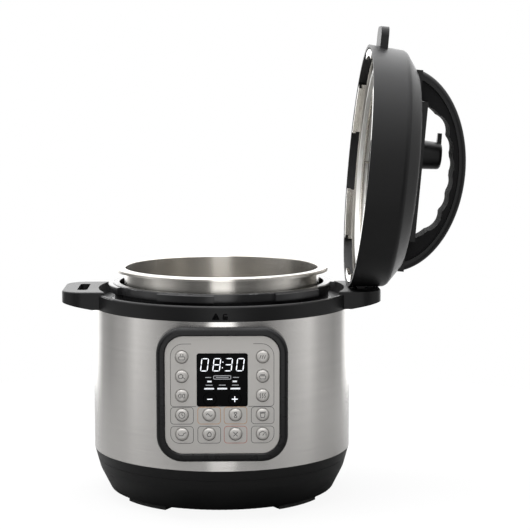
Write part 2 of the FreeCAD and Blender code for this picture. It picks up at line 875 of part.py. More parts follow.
def make_flange():
    """Locking flange: a foot on the liner, a neck, a thick rim and lugs for the lid."""
    body = new_body("locking_flange")
    foot_radius = s.ring_inner_radius - s.fit_gap
    rim_bottom = s.flange_top - s.flange_rim_height
    rim_radius = s.flange_neck + s.flange_rim
    lug_top = s.flange_top - s.lug_drop
    revolve(body, [
        (s.flange_inner, s.liner_top), (foot_radius, s.liner_top), (foot_radius, s.ring_floor_top),
        (s.flange_neck, s.ring_floor_top), (s.flange_neck, rim_bottom), (rim_radius, rim_bottom),
        (rim_radius, s.flange_top, s.flange_edge), (s.flange_inner, s.flange_top),
    ])
    lug = revolve(body, [
        (s.flange_neck, rim_bottom), (s.flange_radius, rim_bottom),
        (s.flange_radius, lug_top, s.flange_edge), (s.flange_neck, lug_top),
    ], angle=s.lug_span)
    around(body, lug, s.lug_count)
    body.Placement = Placement(Vector(), Rotation(Vector(0, 0, 1), float(s.lug_turn)))
    body.setExpression(".Placement.Rotation.Angle", s.lug_turn.text)
    return body


def make_pot():
    """Drawn steel pot with a rolled lip."""
    body = new_body("inner_pot")
    inner = s.pot_radius - s.pot_wall
    base = s.pot_bottom + s.disc_thickness
    lip_top = s.pot_top - s.pot_wall * 2
    lip_bottom = s.pot_top - s.pot_lip_drop
    lip_inner = s.pot_lip_radius - s.pot_wall
    revolve(body, [
        (0, base), (s.pot_radius, base, s.pot_corner), (s.pot_radius, lip_top, s.pot_neck_round),
        (lip_inner, lip_top), (lip_inner, lip_bottom), (s.pot_lip_radius, lip_bottom),
        (s.pot_lip_radius, s.pot_top, s.pot_lip_round), (inner, s.pot_top, s.pot_lip_round),
        (inner, base + s.pot_wall, s.pot_corner - s.pot_wall), (0, base + s.pot_wall),
    ])
    return body


def make_pot_disc():
    """Heat-spreading disc under the pot."""
    body = new_body("pot_base_disc")
    top = s.pot_bottom + s.disc_thickness
    revolve(body, [(0, s.pot_bottom), (s.disc_radius - s.disc_edge, s.pot_bottom),
                   (s.disc_radius, s.pot_bottom + s.disc_edge), (s.disc_radius, top), (0, top)])
    return body


# Heater and sprung sensor

def make_heater():
    """Cast heating plate with a hole for the sensor."""
    body = new_body("heating_plate")
    revolve(body, [(s.heater_hole, s.heater_bottom), (s.heater_radius, s.heater_bottom),
                   (s.heater_radius, s.heater_top, s.heater_edge), (s.heater_hole, s.heater_top)])
    return body


def make_heating_tube():
    """Sheathed element under the plate, an open ring with two terminal legs."""
    level = s.heater_bottom - s.tube_radius - s.seat_gap
    ring = put(part("Torus", "tube_ring", Radius1=s.tube_ring_radius, Radius2=s.tube_radius,
                    Angle3=s.tube_sweep), 0, 0, level)
    leg_height = level - s.liner_floor_top - s.tube_radius
    legs = []
    for index, angle in enumerate((0.0, float(s.tube_sweep))):
        x, y = polar(s.tube_ring_radius, angle)
        legs.append(post(f"tube_leg{index}", x, y, level - leg_height, s.tube_leg_radius, leg_height))
    return joined("heating_tube", [ring, *legs])


def make_spacers():
    spacers = []
    for index, angle in enumerate((90, 210, 330)):
        x, y = polar(s.spacer_circle, angle)
        spacers.append(post(f"plate_spacer{index}", x, y, s.liner_floor_top, s.spacer_radius,
                            s.heater_bottom - s.liner_floor_top))
    return grouped("plate_spacers", spacers)


def make_sensor_holder():
    body = new_body("sensor_holder")
    inner = s.sensor_radius + s.fit_gap
    outer = inner + s.holder_wall
    bottom = s.heater_bottom - s.holder_height
    revolve(body, [(0, bottom), (outer, bottom), (outer, s.heater_bottom), (inner, s.heater_bottom),
                   (inner, bottom + s.holder_wall), (0, bottom + s.holder_wall)])
    return body


def make_sensor_cap():
    """Aluminium cap that the spring presses against the pot's base."""
    body = new_body("sensor_cap")
    inner = s.sensor_radius - s.sensor_wall
    bottom = s.heater_top - s.sensor_height
    under = s.heater_top - s.sensor_wall * 2
    revolve(body, [(inner, bottom), (s.sensor_radius, bottom), (s.sensor_radius, s.heater_top, s.sensor_edge),
                   (0, s.heater_top), (0, under), (inner, under)])
    return body


def tangent_arc(start, corner, stop):
    """The arc from start to stop whose end tangents meet at the corner."""
    middle = (start + stop) / 2
    half = (stop - start).Length / 2
    rise = corner - middle
    depth = half * math.tan(math.atan2(rise.Length, half) / 2)
    return Part.Arc(start, middle + rise.normalize() * depth, stop).toShape()


def helix(radius, height, turns, steps=4):
    """A rising helix as tangent arcs, two of them to each step of a turn, and its first heading."""
    def spot(turned):
        angle = turned * 2 * math.pi
        return Vector(radius * math.cos(angle), radius * math.sin(angle), height * turned / turns)

    def heading(turned):
        angle = turned * 2 * math.pi
        round_once = 2 * math.pi * radius
        return Vector(-round_once * math.sin(angle), round_once * math.cos(angle), height / turns).normalize()

    arcs = []
    for step in range(int(turns * steps)):
        start, stop = spot(step / steps), spot((step + 1) / steps)
        into, out = heading(step / steps), heading((step + 1) / steps)
        chord = stop - start
        bend = 2 * (1 - into.dot(out))
        along = 2 * chord.dot(into + out)
        reach = (math.sqrt(along ** 2 + 4 * bend * chord.dot(chord)) - along) / (2 * bend)
        first, second = start + into * reach, stop - out * reach
        meeting = (first + second) / 2
        arcs += [tangent_arc(start, first, meeting), tangent_arc(meeting, second, stop)]
    return Part.Wire(arcs), heading(0)


def make_sensor_spring():
    """Round wire spring between the holder's floor and the cap."""
    bottom = s.heater_bottom - s.holder_height + s.holder_wall + s.spring_wire + s.seat_gap
    top = s.heater_top - s.sensor_wall * 2 - s.spring_wire - s.seat_gap
    radius = float(s.spring_radius)
    path, heading = helix(radius, float(top - bottom), float(s.spring_turns))
    section = Part.Wire(Part.makeCircle(float(s.spring_wire), Vector(radius, 0, 0), heading))
    spring = doc.addObject("Part::Feature", "sensor_spring")
    spring.Shape = path.makePipeShell([section], True, False)
    spring.Placement = Placement(Vector(0, 0, float(bottom)), Rotation())
    return spring


def make_fuse():
    level = s.heater_bottom - s.fuse_radius - s.seat_gap
    link = part("Cylinder", "fuse_link", Radius=s.fuse_radius, Height=s.fuse_length)
    put(link, -s.fuse_length / 2, s.fuse_circle, level, Rotation(Vector(0, 1, 0), 90))
    clip = block("fuse_clip", 0, s.fuse_circle, level, s.fuse_radius * 2, s.fuse_radius * 4,
                 s.heater_bottom - level)
    return joined("thermal_fuse", [link, clip])


# Power board and inlet

def make_power_board():
    board = block("power_board", s.board_offset, 0, s.board_bottom, s.board_length, s.board_width,
                  s.board_thickness)
    board.Label = "power_board"
    return board


# Place and size of what stands on the power board, in tenths of the board's width
BOARD_BLOCKS = {
    "relay": (-4, 2, 3.5, 2.6, 2.6),
    "transformer": (2, 1.5, 4, 3.6, 3.4),
    "terminal_strip": (-2, -3, 5, 1.6, 2),
}
CAPACITORS = {"capacitor_large": (4, -2.5, 1, 3), "capacitor_small": (1.6, -2.5, 0.7, 2)}


def make_board_parts():
    """Relay, transformer, terminal strip and capacitors as separate solids."""
    unit = s.board_width / 10
    pieces = []
    for makes, group in ((block, BOARD_BLOCKS), (post, CAPACITORS)):
        for name, (x, y, *sizes) in group.items():
            pieces.append(makes(name, s.board_offset + unit * x, unit * y, s.board_top,
                                *(unit * size for size in sizes)))
    return grouped("power_board_parts", pieces)


def make_inlet():
    """Standard three-pin inlet housing let into the back of the tray."""
    body = new_body("power_inlet")
    shell = box_corners(0, s.inlet_centre, s.inlet_width, s.inlet_height, s.inlet_corner)
    pad(body, "XZ_Plane", [shell], s.inlet_depth, offset=-s.inlet_face)
    w, h, cut = s.inlet_mouth_width / 2, s.inlet_mouth_height / 2, s.inlet_mouth_height / 4
    mouth = [(-w, s.inlet_centre - h), (w, s.inlet_centre - h), (w, s.inlet_centre + h - cut),
             (w - cut, s.inlet_centre + h), (cut - w, s.inlet_centre + h), (-w, s.inlet_centre + h - cut)]
    pocket(body, "XZ_Plane", [mouth], length=s.inlet_mouth_depth, offset=-s.inlet_face, reverse=True)
    return body


def make_inlet_pins():
    floor = s.inlet_face - s.inlet_mouth_depth
    spots = [(-s.pin_pitch, -s.pin_thickness), (s.pin_pitch, -s.pin_thickness), (0, s.pin_thickness)]
    pins = [
        block(f"inlet_pin{index}", x, floor + s.pin_length / 2, s.inlet_centre + z - s.pin_width / 2,
              s.pin_thickness, s.pin_length, s.pin_width)
        for index, (x, z) in enumerate(spots)
    ]
    return grouped("inlet_pins", pins)


# Control panel

def key_spots():
    """Each key's name with its place across and up the panel."""
    spots = {}
    for side, names in zip((-1, 1), KEY_COLUMNS.values()):
        for row, name in enumerate(names):
            spots[name] = (s.key_outer_column * side, s.key_row_top - s.key_row_pitch * row)
    for index, name in enumerate(MIDDLE_KEYS):
        side, row = (-1, 1)[index % 2], MIDDLE_ROW + index // 2
        spots[name] = (s.key_inner_column * side, s.key_row_top - s.key_row_pitch * row)
    for side, name in zip((-1, 1), SET_KEYS):
        spots[name] = (s.set_key_column * side, s.set_key_row)
    return spots


def make_bezel():
    """Rounded bezel that sits on the round shell, with a frame that reaches in through the shell's window."""
    body = new_body("panel_bezel")
    outer = box_corners(0, s.panel_centre, s.panel_width, s.panel_height, s.panel_corner)
    frame = box_corners(0, s.panel_centre, s.frame_width, s.frame_height, s.frame_corner)
    opening = box_corners(0, s.panel_centre, s.face_width, s.face_height, s.face_corner)
    pad(body, "XZ_Plane", [outer], s.frame_depth + s.panel_corner, offset=s.panel_front, reverse=True)
    tall = s.panel_centre + s.panel_height
    jacket = s.shell_radius + s.seat_gap
    groove(body, [(0, 0), (jacket, 0), (jacket, tall), (0, tall)])
    round_edges(body, s.bezel_round, at_front)
    pocket(body, "XZ_Plane", [opening], length=s.panel_front, offset=s.panel_front)
    round_edges(body, s.bezel_inner_round, lambda middle: at_front(middle)
                and abs(middle.x) < s.face_width / 2 + NEAR
                and abs(middle.z - s.panel_centre) < s.face_height / 2 + NEAR)
    pad(body, "XZ_Plane", [frame, opening], s.face_back - s.frame_back, offset=s.frame_back)
    bosses = [(s.boss_x * a, s.panel_centre + s.boss_z * b, s.boss_radius) for a in (-1, 1) for b in (-1, 1)]
    pad(body, "XZ_Plane", bosses, s.face_back - s.seat_gap - s.control_front, offset=s.control_front)
    return body


def at_front(middle):
    return abs(middle.y + s.panel_front) < NEAR


def make_faceplate():
    """Face plate with the display's window and a hole for each key outside it."""
    body = new_body("panel_faceplate")
    outline = box_corners(0, s.panel_centre, s.face_width - 2 * s.fit_gap, s.face_height - 2 * s.fit_gap,
                          s.face_corner - s.fit_gap)
    window = box_corners(0, s.window_centre, s.window_width + 2 * s.seat_gap,
                         s.window_height + 2 * s.seat_gap, s.window_corner + s.seat_gap)
    holes = [(*spot, s.key_hole) for name, spot in key_spots().items() if name not in SET_KEYS]
    pad(body, "XZ_Plane", [outline, window, *holes], s.face_thickness, offset=s.face_back)
    return body


def make_window():
    """Dark display window with the holes of the two setting keys."""
    body = new_body("display_window")
    outline = box_corners(0, s.window_centre, s.window_width, s.window_height, s.window_corner)
    holes = [(*key_spots()[name], s.key_hole) for name in SET_KEYS]
    pad(body, "XZ_Plane", [outline, *holes], s.face_thickness, offset=s.face_back)
    return body


def make_module():
    """Display module behind the upper part of the window, on legs from the control board."""
    bottom = s.set_key_row + s.key_radius + s.key_lip + s.module_inset
    top = s.window_top - s.module_inset
    front = s.face_back - s.seat_gap
    module = block("display_glass", 0, s.module_depth / 2 - front, bottom,
                   s.window_width - 2 * s.module_inset, s.module_depth, top - bottom)
    leg_depth = front - s.module_depth - s.control_front
    leg_x = s.window_width / 2 - 2 * s.module_inset
    legs = [
        block(f"display_leg{index}", leg_x * side, -s.control_front - leg_depth / 2, bottom,
              s.board_thickness, leg_depth, top - bottom)
        for index, side in enumerate((-1, 1))
    ]
    return joined("display_module", [module, *legs])


def make_control_board():
    body = new_body("control_board")
    outline = box_corners(0, s.panel_centre, s.control_width, s.control_height, s.face_corner)
    pad(body, "XZ_Plane", [outline], s.board_thickness, offset=s.control_back)
    return body


def make_switches():
    """One small switch under each key, with its plunger just short of the key."""
    plunger_top = s.face_back - s.key_lip_thickness - s.seat_gap - s.key_travel - s.fit_gap
    depth = plunger_top - s.control_front
    switches = [
        block(f"switch_{name}", x, -s.control_front - depth / 2, z - s.switch_side / 2, s.switch_side, depth,
              s.switch_side)
        for name, (x, z) in key_spots().items()
    ]
    return grouped("tact_switches", switches)


def make_panel_screws():
    turned = Rotation(Vector(1, 0, 0), -90)
    screws = []
    for index, (a, b) in enumerate(((-1, -1), (1, -1), (1, 1), (-1, 1))):
        head = part("Cylinder", f"panel_screw{index}", Radius=s.panel_screw_radius,
                    Height=s.board_thickness)
        screws.append(put(head, s.boss_x * a, -s.control_back, s.panel_centre + s.boss_z * b, turned))
    return grouped("panel_screws", screws)


def make_key(name, x, z):
    """Round key with a lip behind the face plate; its own axis points out of the panel."""
    body = new_body(name)
    lip_top = -s.seat_gap
    lip_bottom = lip_top - s.key_lip_thickness
    lip_radius = s.key_radius + s.key_lip
    proud, dome = (s.set_key_proud, s.set_key_round) if name in SET_KEYS else (s.key_proud, s.key_dome)
    top = s.face_thickness + proud
    revolve(body, [(0, lip_bottom), (lip_radius, lip_bottom), (lip_radius, lip_top), (s.key_radius, lip_top),
                   (s.key_radius, top, dome), (0, top)])
    return put(body, x, -s.face_back, z, Rotation(Vector(1, 0, 0), 90))


# Drip cup and its bracket

cup_top = s.rail_top - s.rail_wall - s.fit_gap
lip_bottom = cup_top - s.rail_drop + s.fit_gap


def make_bracket():
    """Roof plate with two open rails, shaped to the round shell."""
    start = s.shell_radius - s.rail_root
    length = s.cup_back + s.cup_depth - start
    middle = start + length / 2
    inside = s.cup_width / 2 + s.cup_lip + s.fit_gap
    roof = block("bracket_roof", 0, middle, s.rail_top - s.rail_wall, (inside + s.rail_wall) * 2, length,
                 s.rail_wall)
    pieces = [roof]
    bottom = lip_bottom - s.fit_gap - s.rail_wall
    shelf = s.cup_lip + s.rail_wall
    for side in (-1, 1):
        pieces.append(block(f"bracket_side{side + 1}", (inside + s.rail_wall / 2) * side, middle, bottom,
                            s.rail_wall, length, s.rail_top - bottom))
        pieces.append(block(f"bracket_shelf{side + 1}", (inside + s.rail_wall - shelf / 2) * side, middle,
                            bottom, shelf, length, s.rail_wall))
    jacket = post("bracket_shell_side", 0, 0, 0, s.shell_radius + s.seat_gap, s.rail_top * 2)
    drain = post("bracket_drain", 0, s.cup_back + s.cup_depth / 2, 0, s.cup_drain, s.rail_top * 2)
    return less("cup_bracket", joined("bracket_solid", pieces), joined("bracket_cuts", [jacket, drain]))


def make_cup():
    """Clear drip cup with two lips that slide in the bracket's rails."""
    body = new_body("drip_cup")
    bottom = cup_top - s.cup_height
    outline = box_corners(0, s.cup_back + s.cup_depth / 2, s.cup_width, s.cup_depth, s.cup_corner)
    pad(body, "XY_Plane", [outline], s.cup_height, offset=bottom)
    lips = box_corners(0, s.cup_back + s.cup_depth / 2, s.cup_width + 2 * s.cup_lip,
                       s.cup_depth - 2 * s.cup_corner)
    pad(body, "XY_Plane", [lips], s.cup_lip_height, offset=lip_bottom)
    inside = box_corners(0, s.cup_back + s.cup_depth / 2, s.cup_width - 2 * s.cup_wall,
                         s.cup_depth - 2 * s.cup_wall, s.cup_corner - s.cup_wall)
    pocket(body, "XY_Plane", [inside], length=s.cup_height - s.cup_wall, offset=cup_top)
    return body


# Lid, drawn in its own frame and then stood in the right ear's slot

lean = math.radians(s.lid_lean)
rest_height = s.lid_skirt - s.lid_shoulder
rest_radius = s.lid_radius - s.lid_draft * (rest_height / s.lid_skirt)
lid_x = s.slot_centre - s.fin_height * math.cos(lean) + (s.lid_radius + s.fin_set) * math.sin(lean)
lid_z = s.ear_top + s.fit_gap + rest_radius * math.cos(lean) + rest_height * math.sin(lean)
half_turn = math.pi / 4 - lean / 2
LID = Placement(Vector(float(lid_x), 0, float(lid_z)),
                Rotation(Vector(math.cos(half_turn), 0, math.sin(half_turn)), 180))
VALVE = LID * Placement(Vector(float(s.valve_along), float(s.valve_side), 0), Rotation())
FLOAT = LID * Placement(Vector(float(s.float_along), float(s.float_side), 0), Rotation())
LID_SCREW_ANGLES = (45, 135, 225, 315)


def on_lid(item):
    item.Placement = LID
    return item


def make_lid_shell():
    """Moulded lid: skirt, cone and dome, handle rail with seats, valve bosses, screw bosses and two fins."""
    body = new_body("lid_shell")
    wall = s.lid_wall
    outer = [(s.lid_radius, 0), (s.lid_radius - s.lid_draft, s.lid_skirt, s.lid_shoulder),
             (s.lid_cone_radius, s.lid_cone_height, s.lid_shoulder * 2),
             (s.lid_dome_radius, s.lid_dome_height, s.lid_dome_radius), (0, s.lid_dome_height)]
    inner = [(0, s.lid_dome_height - wall), (s.lid_dome_radius - wall, s.lid_dome_height - wall),
             (s.lid_cone_radius - wall, s.lid_cone_height - wall, s.lid_shoulder * 2),
             (s.lid_radius - s.lid_draft - wall, s.lid_inside_height, s.lid_shoulder),
             (s.lid_radius - wall, 0)]
    revolve(body, outer + inner)
    inside_dome = s.lid_dome_height - wall / 2
    inside_cone = s.lid_cone_height - wall / 2
    rail = [
        (-s.seat_half_length, inside_cone - wall / 2), (-s.lid_cone_radius + wall, inside_cone),
        (-s.lid_dome_radius, inside_dome), (s.lid_dome_radius, inside_dome),
        (s.lid_cone_radius - wall, inside_cone), (s.seat_half_length, inside_cone - wall / 2),
        (s.seat_half_length, s.seat_height), (s.rail_half_length, s.seat_height),
        (s.rail_half_length, s.rail_height, s.rail_edge), (-s.rail_half_length, s.rail_height, s.rail_edge),
        (-s.rail_half_length, s.seat_height), (-s.seat_half_length, s.seat_height),
    ]
    pad(body, "XZ_Plane", [rail], s.rail_half_width * 2, both=True)
    pad(body, "XY_Plane", [(s.valve_along, s.valve_side, s.valve_boss)], s.rail_height - inside_dome,
        offset=inside_dome)
    pad(body, "XY_Plane", [(s.float_along, s.float_side, s.float_boss)], s.float_boss_top - inside_dome,
        offset=inside_dome)
    screw_bosses = [(*polar(s.lid_screw_circle, angle), s.lid_boss_radius) for angle in LID_SCREW_ANGLES]
    boss_bottom = s.steel_disc + s.steel_wall + s.seat_gap
    slope = (s.lid_dome_height - s.lid_cone_height) / (s.lid_cone_radius - s.lid_dome_radius)
    boss_top = inside_cone + slope * (s.lid_cone_radius - s.lid_screw_circle)
    pad(body, "XY_Plane", screw_bosses, boss_top - boss_bottom, offset=boss_bottom)
    root = s.lid_radius - wall
    for side in (1, -1):
        fin = [(root * side, -s.fin_width / 2), (s.fin_reach * side, -s.fin_width / 2, s.fin_corner),
               (s.fin_reach * side, s.fin_width / 2, s.fin_corner), (root * side, s.fin_width / 2)]
        pad(body, "XY_Plane", [fin if side > 0 else fin[::-1]], s.fin_thickness,
            offset=s.fin_height - s.fin_thickness / 2)
    pocket(body, "XY_Plane", valve_holes(), reverse=True)
    return on_lid(body)


def valve_holes():
    """Holes for the steam pipe and the float pin, through both layers of the lid."""
    return [(s.valve_along, s.valve_side, s.pipe_radius + s.seat_gap),
            (s.float_along, s.float_side, s.float_radius + s.fit_gap)]


def make_lid_inner():
    """Pressed steel inner lid; its rim wall is notched between the lugs that turn under the flange's lugs."""
    body = new_body("lid_inner")
    wall = s.steel_wall
    disc, ledge = s.steel_disc, s.steel_ledge
    ledge_outer = s.steel_radius - 3 * wall
    ledge_inner = s.steel_disc_radius + s.steel_slope
    bend = s.steel_bend
    notch_top = s.steel_edge + s.steel_notch
    revolve(body, [
        (0, disc), (s.steel_disc_radius, disc), (ledge_inner, ledge), (ledge_outer - wall, ledge),
        (s.steel_radius - wall, bend), (s.steel_radius - wall, notch_top), (s.steel_radius, notch_top),
        (s.steel_radius, bend + wall / 2), (ledge_outer, ledge + wall),
        (ledge_inner + wall / 2, ledge + wall), (s.steel_disc_radius + wall / 2, disc + wall),
        (0, disc + wall),
    ])
    lug_top = s.steel_edge + s.steel_lug_height
    tab_inner = s.steel_radius - wall
    lug = revolve(body, [
        (s.steel_lug_inner, s.steel_edge), (s.steel_radius, s.steel_edge), (s.steel_radius, notch_top + wall),
        (tab_inner, notch_top + wall), (tab_inner, lug_top), (s.steel_lug_inner, lug_top),
    ], angle=s.lug_span)
    around(body, lug, s.lug_count)
    hole = s.screw_shank + s.seat_gap
    screw_holes = [(*polar(s.lid_screw_circle, angle), hole) for angle in LID_SCREW_ANGLES]
    pocket(body, "XY_Plane", [*screw_holes, *valve_holes()], reverse=True)
    return on_lid(body)


def make_seal():
    """Silicone sealing ring with a flared lip, under the inner lid's ledge."""
    body = new_body("sealing_ring")
    top = s.steel_ledge - s.seat_gap
    bottom = top - s.seal_height
    waist = s.seal_outer - s.seal_lip
    revolve(body, [
        (s.seal_inner, bottom), (waist, bottom), (s.seal_outer, bottom + s.seal_lip_height),
        (waist, bottom + 2 * s.seal_lip_height), (s.seal_outer, top - s.seal_lip_height),
        (s.seal_outer - s.seal_bevel, top), (s.seal_inner, top),
    ])
    return on_lid(body)


def make_rack():
    """Wire ring that keeps the seal in place, on three short posts from the inner lid's ledge."""
    top = s.steel_ledge - s.seat_gap
    level = top - s.seal_height / 2
    ring = put(part("Torus", "ring_rack_wire", Radius1=s.rack_circle, Radius2=s.rack_wire), 0, 0, level)
    posts = []
    for index, angle in enumerate((30, 150, 270)):
        x, y = polar(s.rack_circle, angle)
        posts.append(post(f"rack_post{index}", x, y, level, s.rack_post_radius, top - level))
    return on_lid(joined("ring_rack", [ring, *posts]))


def make_pipe():
    """Steam pipe through the lid, bevelled at its upper end."""
    body = new_body("steam_pipe")
    revolve(body, [(s.pipe_bore, s.pipe_bottom), (s.pipe_radius, s.pipe_bottom),
                   (s.pipe_radius, s.pipe_top - s.pipe_bevel), (s.pipe_radius - s.pipe_bevel, s.pipe_top),
                   (s.pipe_bore, s.pipe_top)])
    body.Placement = VALVE
    return body


def make_shield():
    """Anti-block shield: a slotted cap round the pipe's lower end."""
    body = new_body("antiblock_shield")
    top = s.steel_disc
    bottom = top - s.shield_height
    inner = s.shield_radius - s.shield_wall
    revolve(body, [(0, bottom), (s.shield_radius, bottom), (s.shield_radius, top), (inner, top),
                   (inner, bottom + s.shield_wall), (0, bottom + s.shield_wall)])
    slot = pocket(body, "XZ_Plane", [box_corners(0, bottom + s.shield_height / 2, s.shield_wall * 2,
                                                 s.shield_height / 2)], length=s.shield_radius * 2)
    around(body, slot, s.shield_slots)
    body.Placement = VALVE
    return body


def make_lid_screws():
    screws = []
    head_height = s.plate_thickness * 2
    for index, angle in enumerate(LID_SCREW_ANGLES):
        x, y = polar(s.lid_screw_circle, angle)
        head = post(f"lid_screw_head{index}", x, y, s.steel_disc - head_height, s.screw_head, head_height)
        shank = post(f"lid_screw_shank{index}", x, y, s.steel_disc - s.plate_thickness, s.screw_shank,
                     s.steel_wall + s.plate_thickness)
        screws.append(joined(f"lid_screw{index}", [head, shank]))
    return on_lid(grouped("lid_screws", screws))


# Handle: an outer cover and a scalloped inner grip

def arch(name, centre, half_length, rise, width):
    """An elliptical disc that lies across the lid, for cutting the handle's arcs."""
    ring = doc.addObject("Part::Ellipse", f"{name}_ellipse")
    bind(ring, MajorRadius=half_length, MinorRadius=rise)
    put(ring, 0, 0, centre, Rotation(Vector(1, 0, 0), 90))
    disc = doc.addObject("Part::Extrusion", name)
    disc.Base = ring
    disc.DirMode = "Normal"
    disc.Solid = True
    disc.Symmetric = True
    bind(disc, LengthFwd=width)
    return disc


def below_handle(name, width):
    """What the handle's feet stand on: the rail between them and everything under the seats."""
    rail = block(f"{name}_rail", 0, 0, 0, (s.rail_half_length + s.seat_gap) * 2, width * 2,
                 s.rail_height + s.seat_gap)
    low = s.handle_centre - s.handle_rise
    seats = block(f"{name}_seats", 0, 0, low, s.handle_half_length * 3, width * 2, s.seat_height - low)
    return [rail, seats]


def filleted(label, base, radius, wanted):
    doc.recompute()
    item = doc.addObject("Part::Fillet", label)
    item.Base = base
    item.Edges = [(index, float(radius), float(radius)) for index in edges_with(base.Shape, wanted)]
    item.Label = label
    return item


def make_handle_cover():
    outer = arch("cover_outer", s.handle_centre, s.handle_half_length, s.handle_rise, s.handle_width)
    part_line = arch("cover_inner", s.handle_centre, s.handle_half_length - s.cover_side,
                     s.handle_rise - s.cover_top, s.handle_width * 2)
    cuts = joined("cover_cuts", [part_line, *below_handle("cover", s.handle_width)])
    blank = less("cover_blank", outer, cuts)
    crest = float(s.handle_centre + s.handle_rise)
    cover = filleted("handle_cover", blank, s.handle_round,
                     lambda middle: abs(middle.z - crest) < NEAR and abs(middle.y) > NEAR)
    return on_lid(cover)


def make_handle_grip():
    """Inner half of the handle, with finger scallops along its underside."""
    outer = arch("grip_outer", s.handle_centre, s.handle_half_length - s.cover_side - s.seat_gap,
                 s.handle_rise - s.cover_top - s.seat_gap, s.grip_width)
    opening = arch("grip_opening", s.grip_centre, s.grip_half_length, s.grip_rise, s.grip_width * 2)
    fingers = []
    for index in range(int(s.finger_count)):
        along = s.finger_pitch * (index - (int(s.finger_count) - 1) / 2)
        share = 1 - (float(along) / float(s.grip_half_length)) ** 2
        level = s.grip_centre + s.grip_rise * math.sqrt(share) + s.finger_depth - s.finger_radius
        finger = part("Cylinder", f"finger{index}", Radius=s.finger_radius, Height=s.grip_width * 2)
        fingers.append(put(finger, along, s.grip_width, level, Rotation(Vector(1, 0, 0), 90)))
    cuts = joined("grip_cuts", [opening, *fingers, *below_handle("grip", s.grip_width)])
    grip = less("handle_grip", outer, cuts)
    return on_lid(grip)


# Steam valve and float valve


def make_knob():
    """Steam release knob: a thick drum with a finger lever at its outer end."""
    body = new_body("steam_knob")
    under_cap = s.knob_top - s.knob_cap
    revolve(body, [
        (s.knob_bore, s.knob_bottom), (s.knob_radius, s.knob_bottom), (s.knob_end, s.knob_top, s.knob_round),
        (0, s.knob_top), (0, under_cap), (s.knob_bore, under_cap),
    ])
    root, half, tip = s.knob_end / 2, s.knob_lever_half, s.knob_lever_half / 2
    lever = [(root, -half), (s.knob_lever, -tip, s.knob_lever_round), (s.knob_lever, tip, s.knob_lever_round),
             (root, half)]
    pad(body, "XY_Plane", [lever], s.knob_lever_thickness, offset=under_cap)
    body.Placement = VALVE
    return body


def make_plunger():
    """Weight inside the knob whose cone closes the pipe."""
    body = new_body("valve_plunger")
    top = s.knob_top - s.knob_cap
    radius = s.knob_bore - s.seat_gap
    tip = s.pipe_top + s.fit_gap
    revolve(body, [(0, tip), (radius, tip + s.plunger_point), (radius, top), (0, top)])
    body.Placement = VALVE
    return body


def make_float_pin():
    """Float pin with a head inside the lid and a bevelled top that shows when it rises."""
    body = new_body("float_pin")
    head_bottom = s.float_rest - s.float_head_height
    revolve(body, [(0, head_bottom), (s.float_head, head_bottom), (s.float_head, s.float_rest),
                   (s.float_radius, s.float_rest), (s.float_radius, s.float_top - s.float_bevel),
                   (s.float_radius - s.float_bevel, s.float_top), (0, s.float_top)])
    body.Placement = FLOAT
    return body


def make_float_cap():
    """Silicone cap on the float pin's lower end."""
    body = new_body("float_cap")
    top = s.float_rest - s.float_head_height
    bottom = top - s.float_cap_height
    outer = s.float_head + s.float_cap_wall
    revolve(body, [(0, bottom), (s.float_head, bottom), (outer, bottom + s.float_cap_wall), (outer, top),
                   (0, top)])
    body.Placement = FLOAT
    return body


def make_all():
    pieces = [
        make_feet(), make_tray(), make_bottom_plate(), make_base_screws(), make_shell(), make_ring(),
        make_liner(), make_flange(), make_pot(), make_pot_disc(), make_heater(), make_heating_tube(),
        make_spacers(), make_sensor_holder(), make_sensor_cap(), make_sensor_spring(), make_fuse(),
        make_power_board(), make_board_parts(), make_inlet(), make_inlet_pins(),
        make_bezel(), make_faceplate(), make_window(), make_module(), make_control_board(),
        make_switches(), make_panel_screws(), make_bracket(), make_cup(),
        make_lid_shell(), make_lid_inner(), make_seal(), make_rack(), make_pipe(), make_shield(),
        make_lid_screws(), make_handle_cover(), make_handle_grip(),
        make_knob(), make_plunger(), make_float_pin(), make_float_cap(),
    ]
    pieces += [make_key(name, x, z) for name, (x, z) in key_spots().items()]
    return pieces


def write_parts(pieces):
    """Check every object and every piece, then write one file a piece."""
    failed = [item.Name for item in doc.Objects if {"Invalid", "Error"} & set(item.State)]
    failed += [piece.Label for piece in pieces if piece.Shape.isNull() or not piece.Shape.isValid()]
    if failed:
        raise RuntimeError("failed: " + ", ".join(failed))
    os.makedirs("parts", exist_ok=True)
    for piece in pieces:
        piece.Shape.exportStep(f"parts/{piece.Label}.step")


all_pieces = make_all()
doc.recompute()
write_parts(all_pieces)
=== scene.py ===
"""Looks of the electric pressure cooker: finishes, panel print, display, screws, floor and light.

Metres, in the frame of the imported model: +Z up, the pot's axis on Z, the control panel towards -Y.
"""

import json
import math

import bmesh
import bpy
from bpy.props import FloatProperty, FloatVectorProperty, PointerProperty, StringProperty
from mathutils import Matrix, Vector
from mathutils.bvhtree import BVHTree


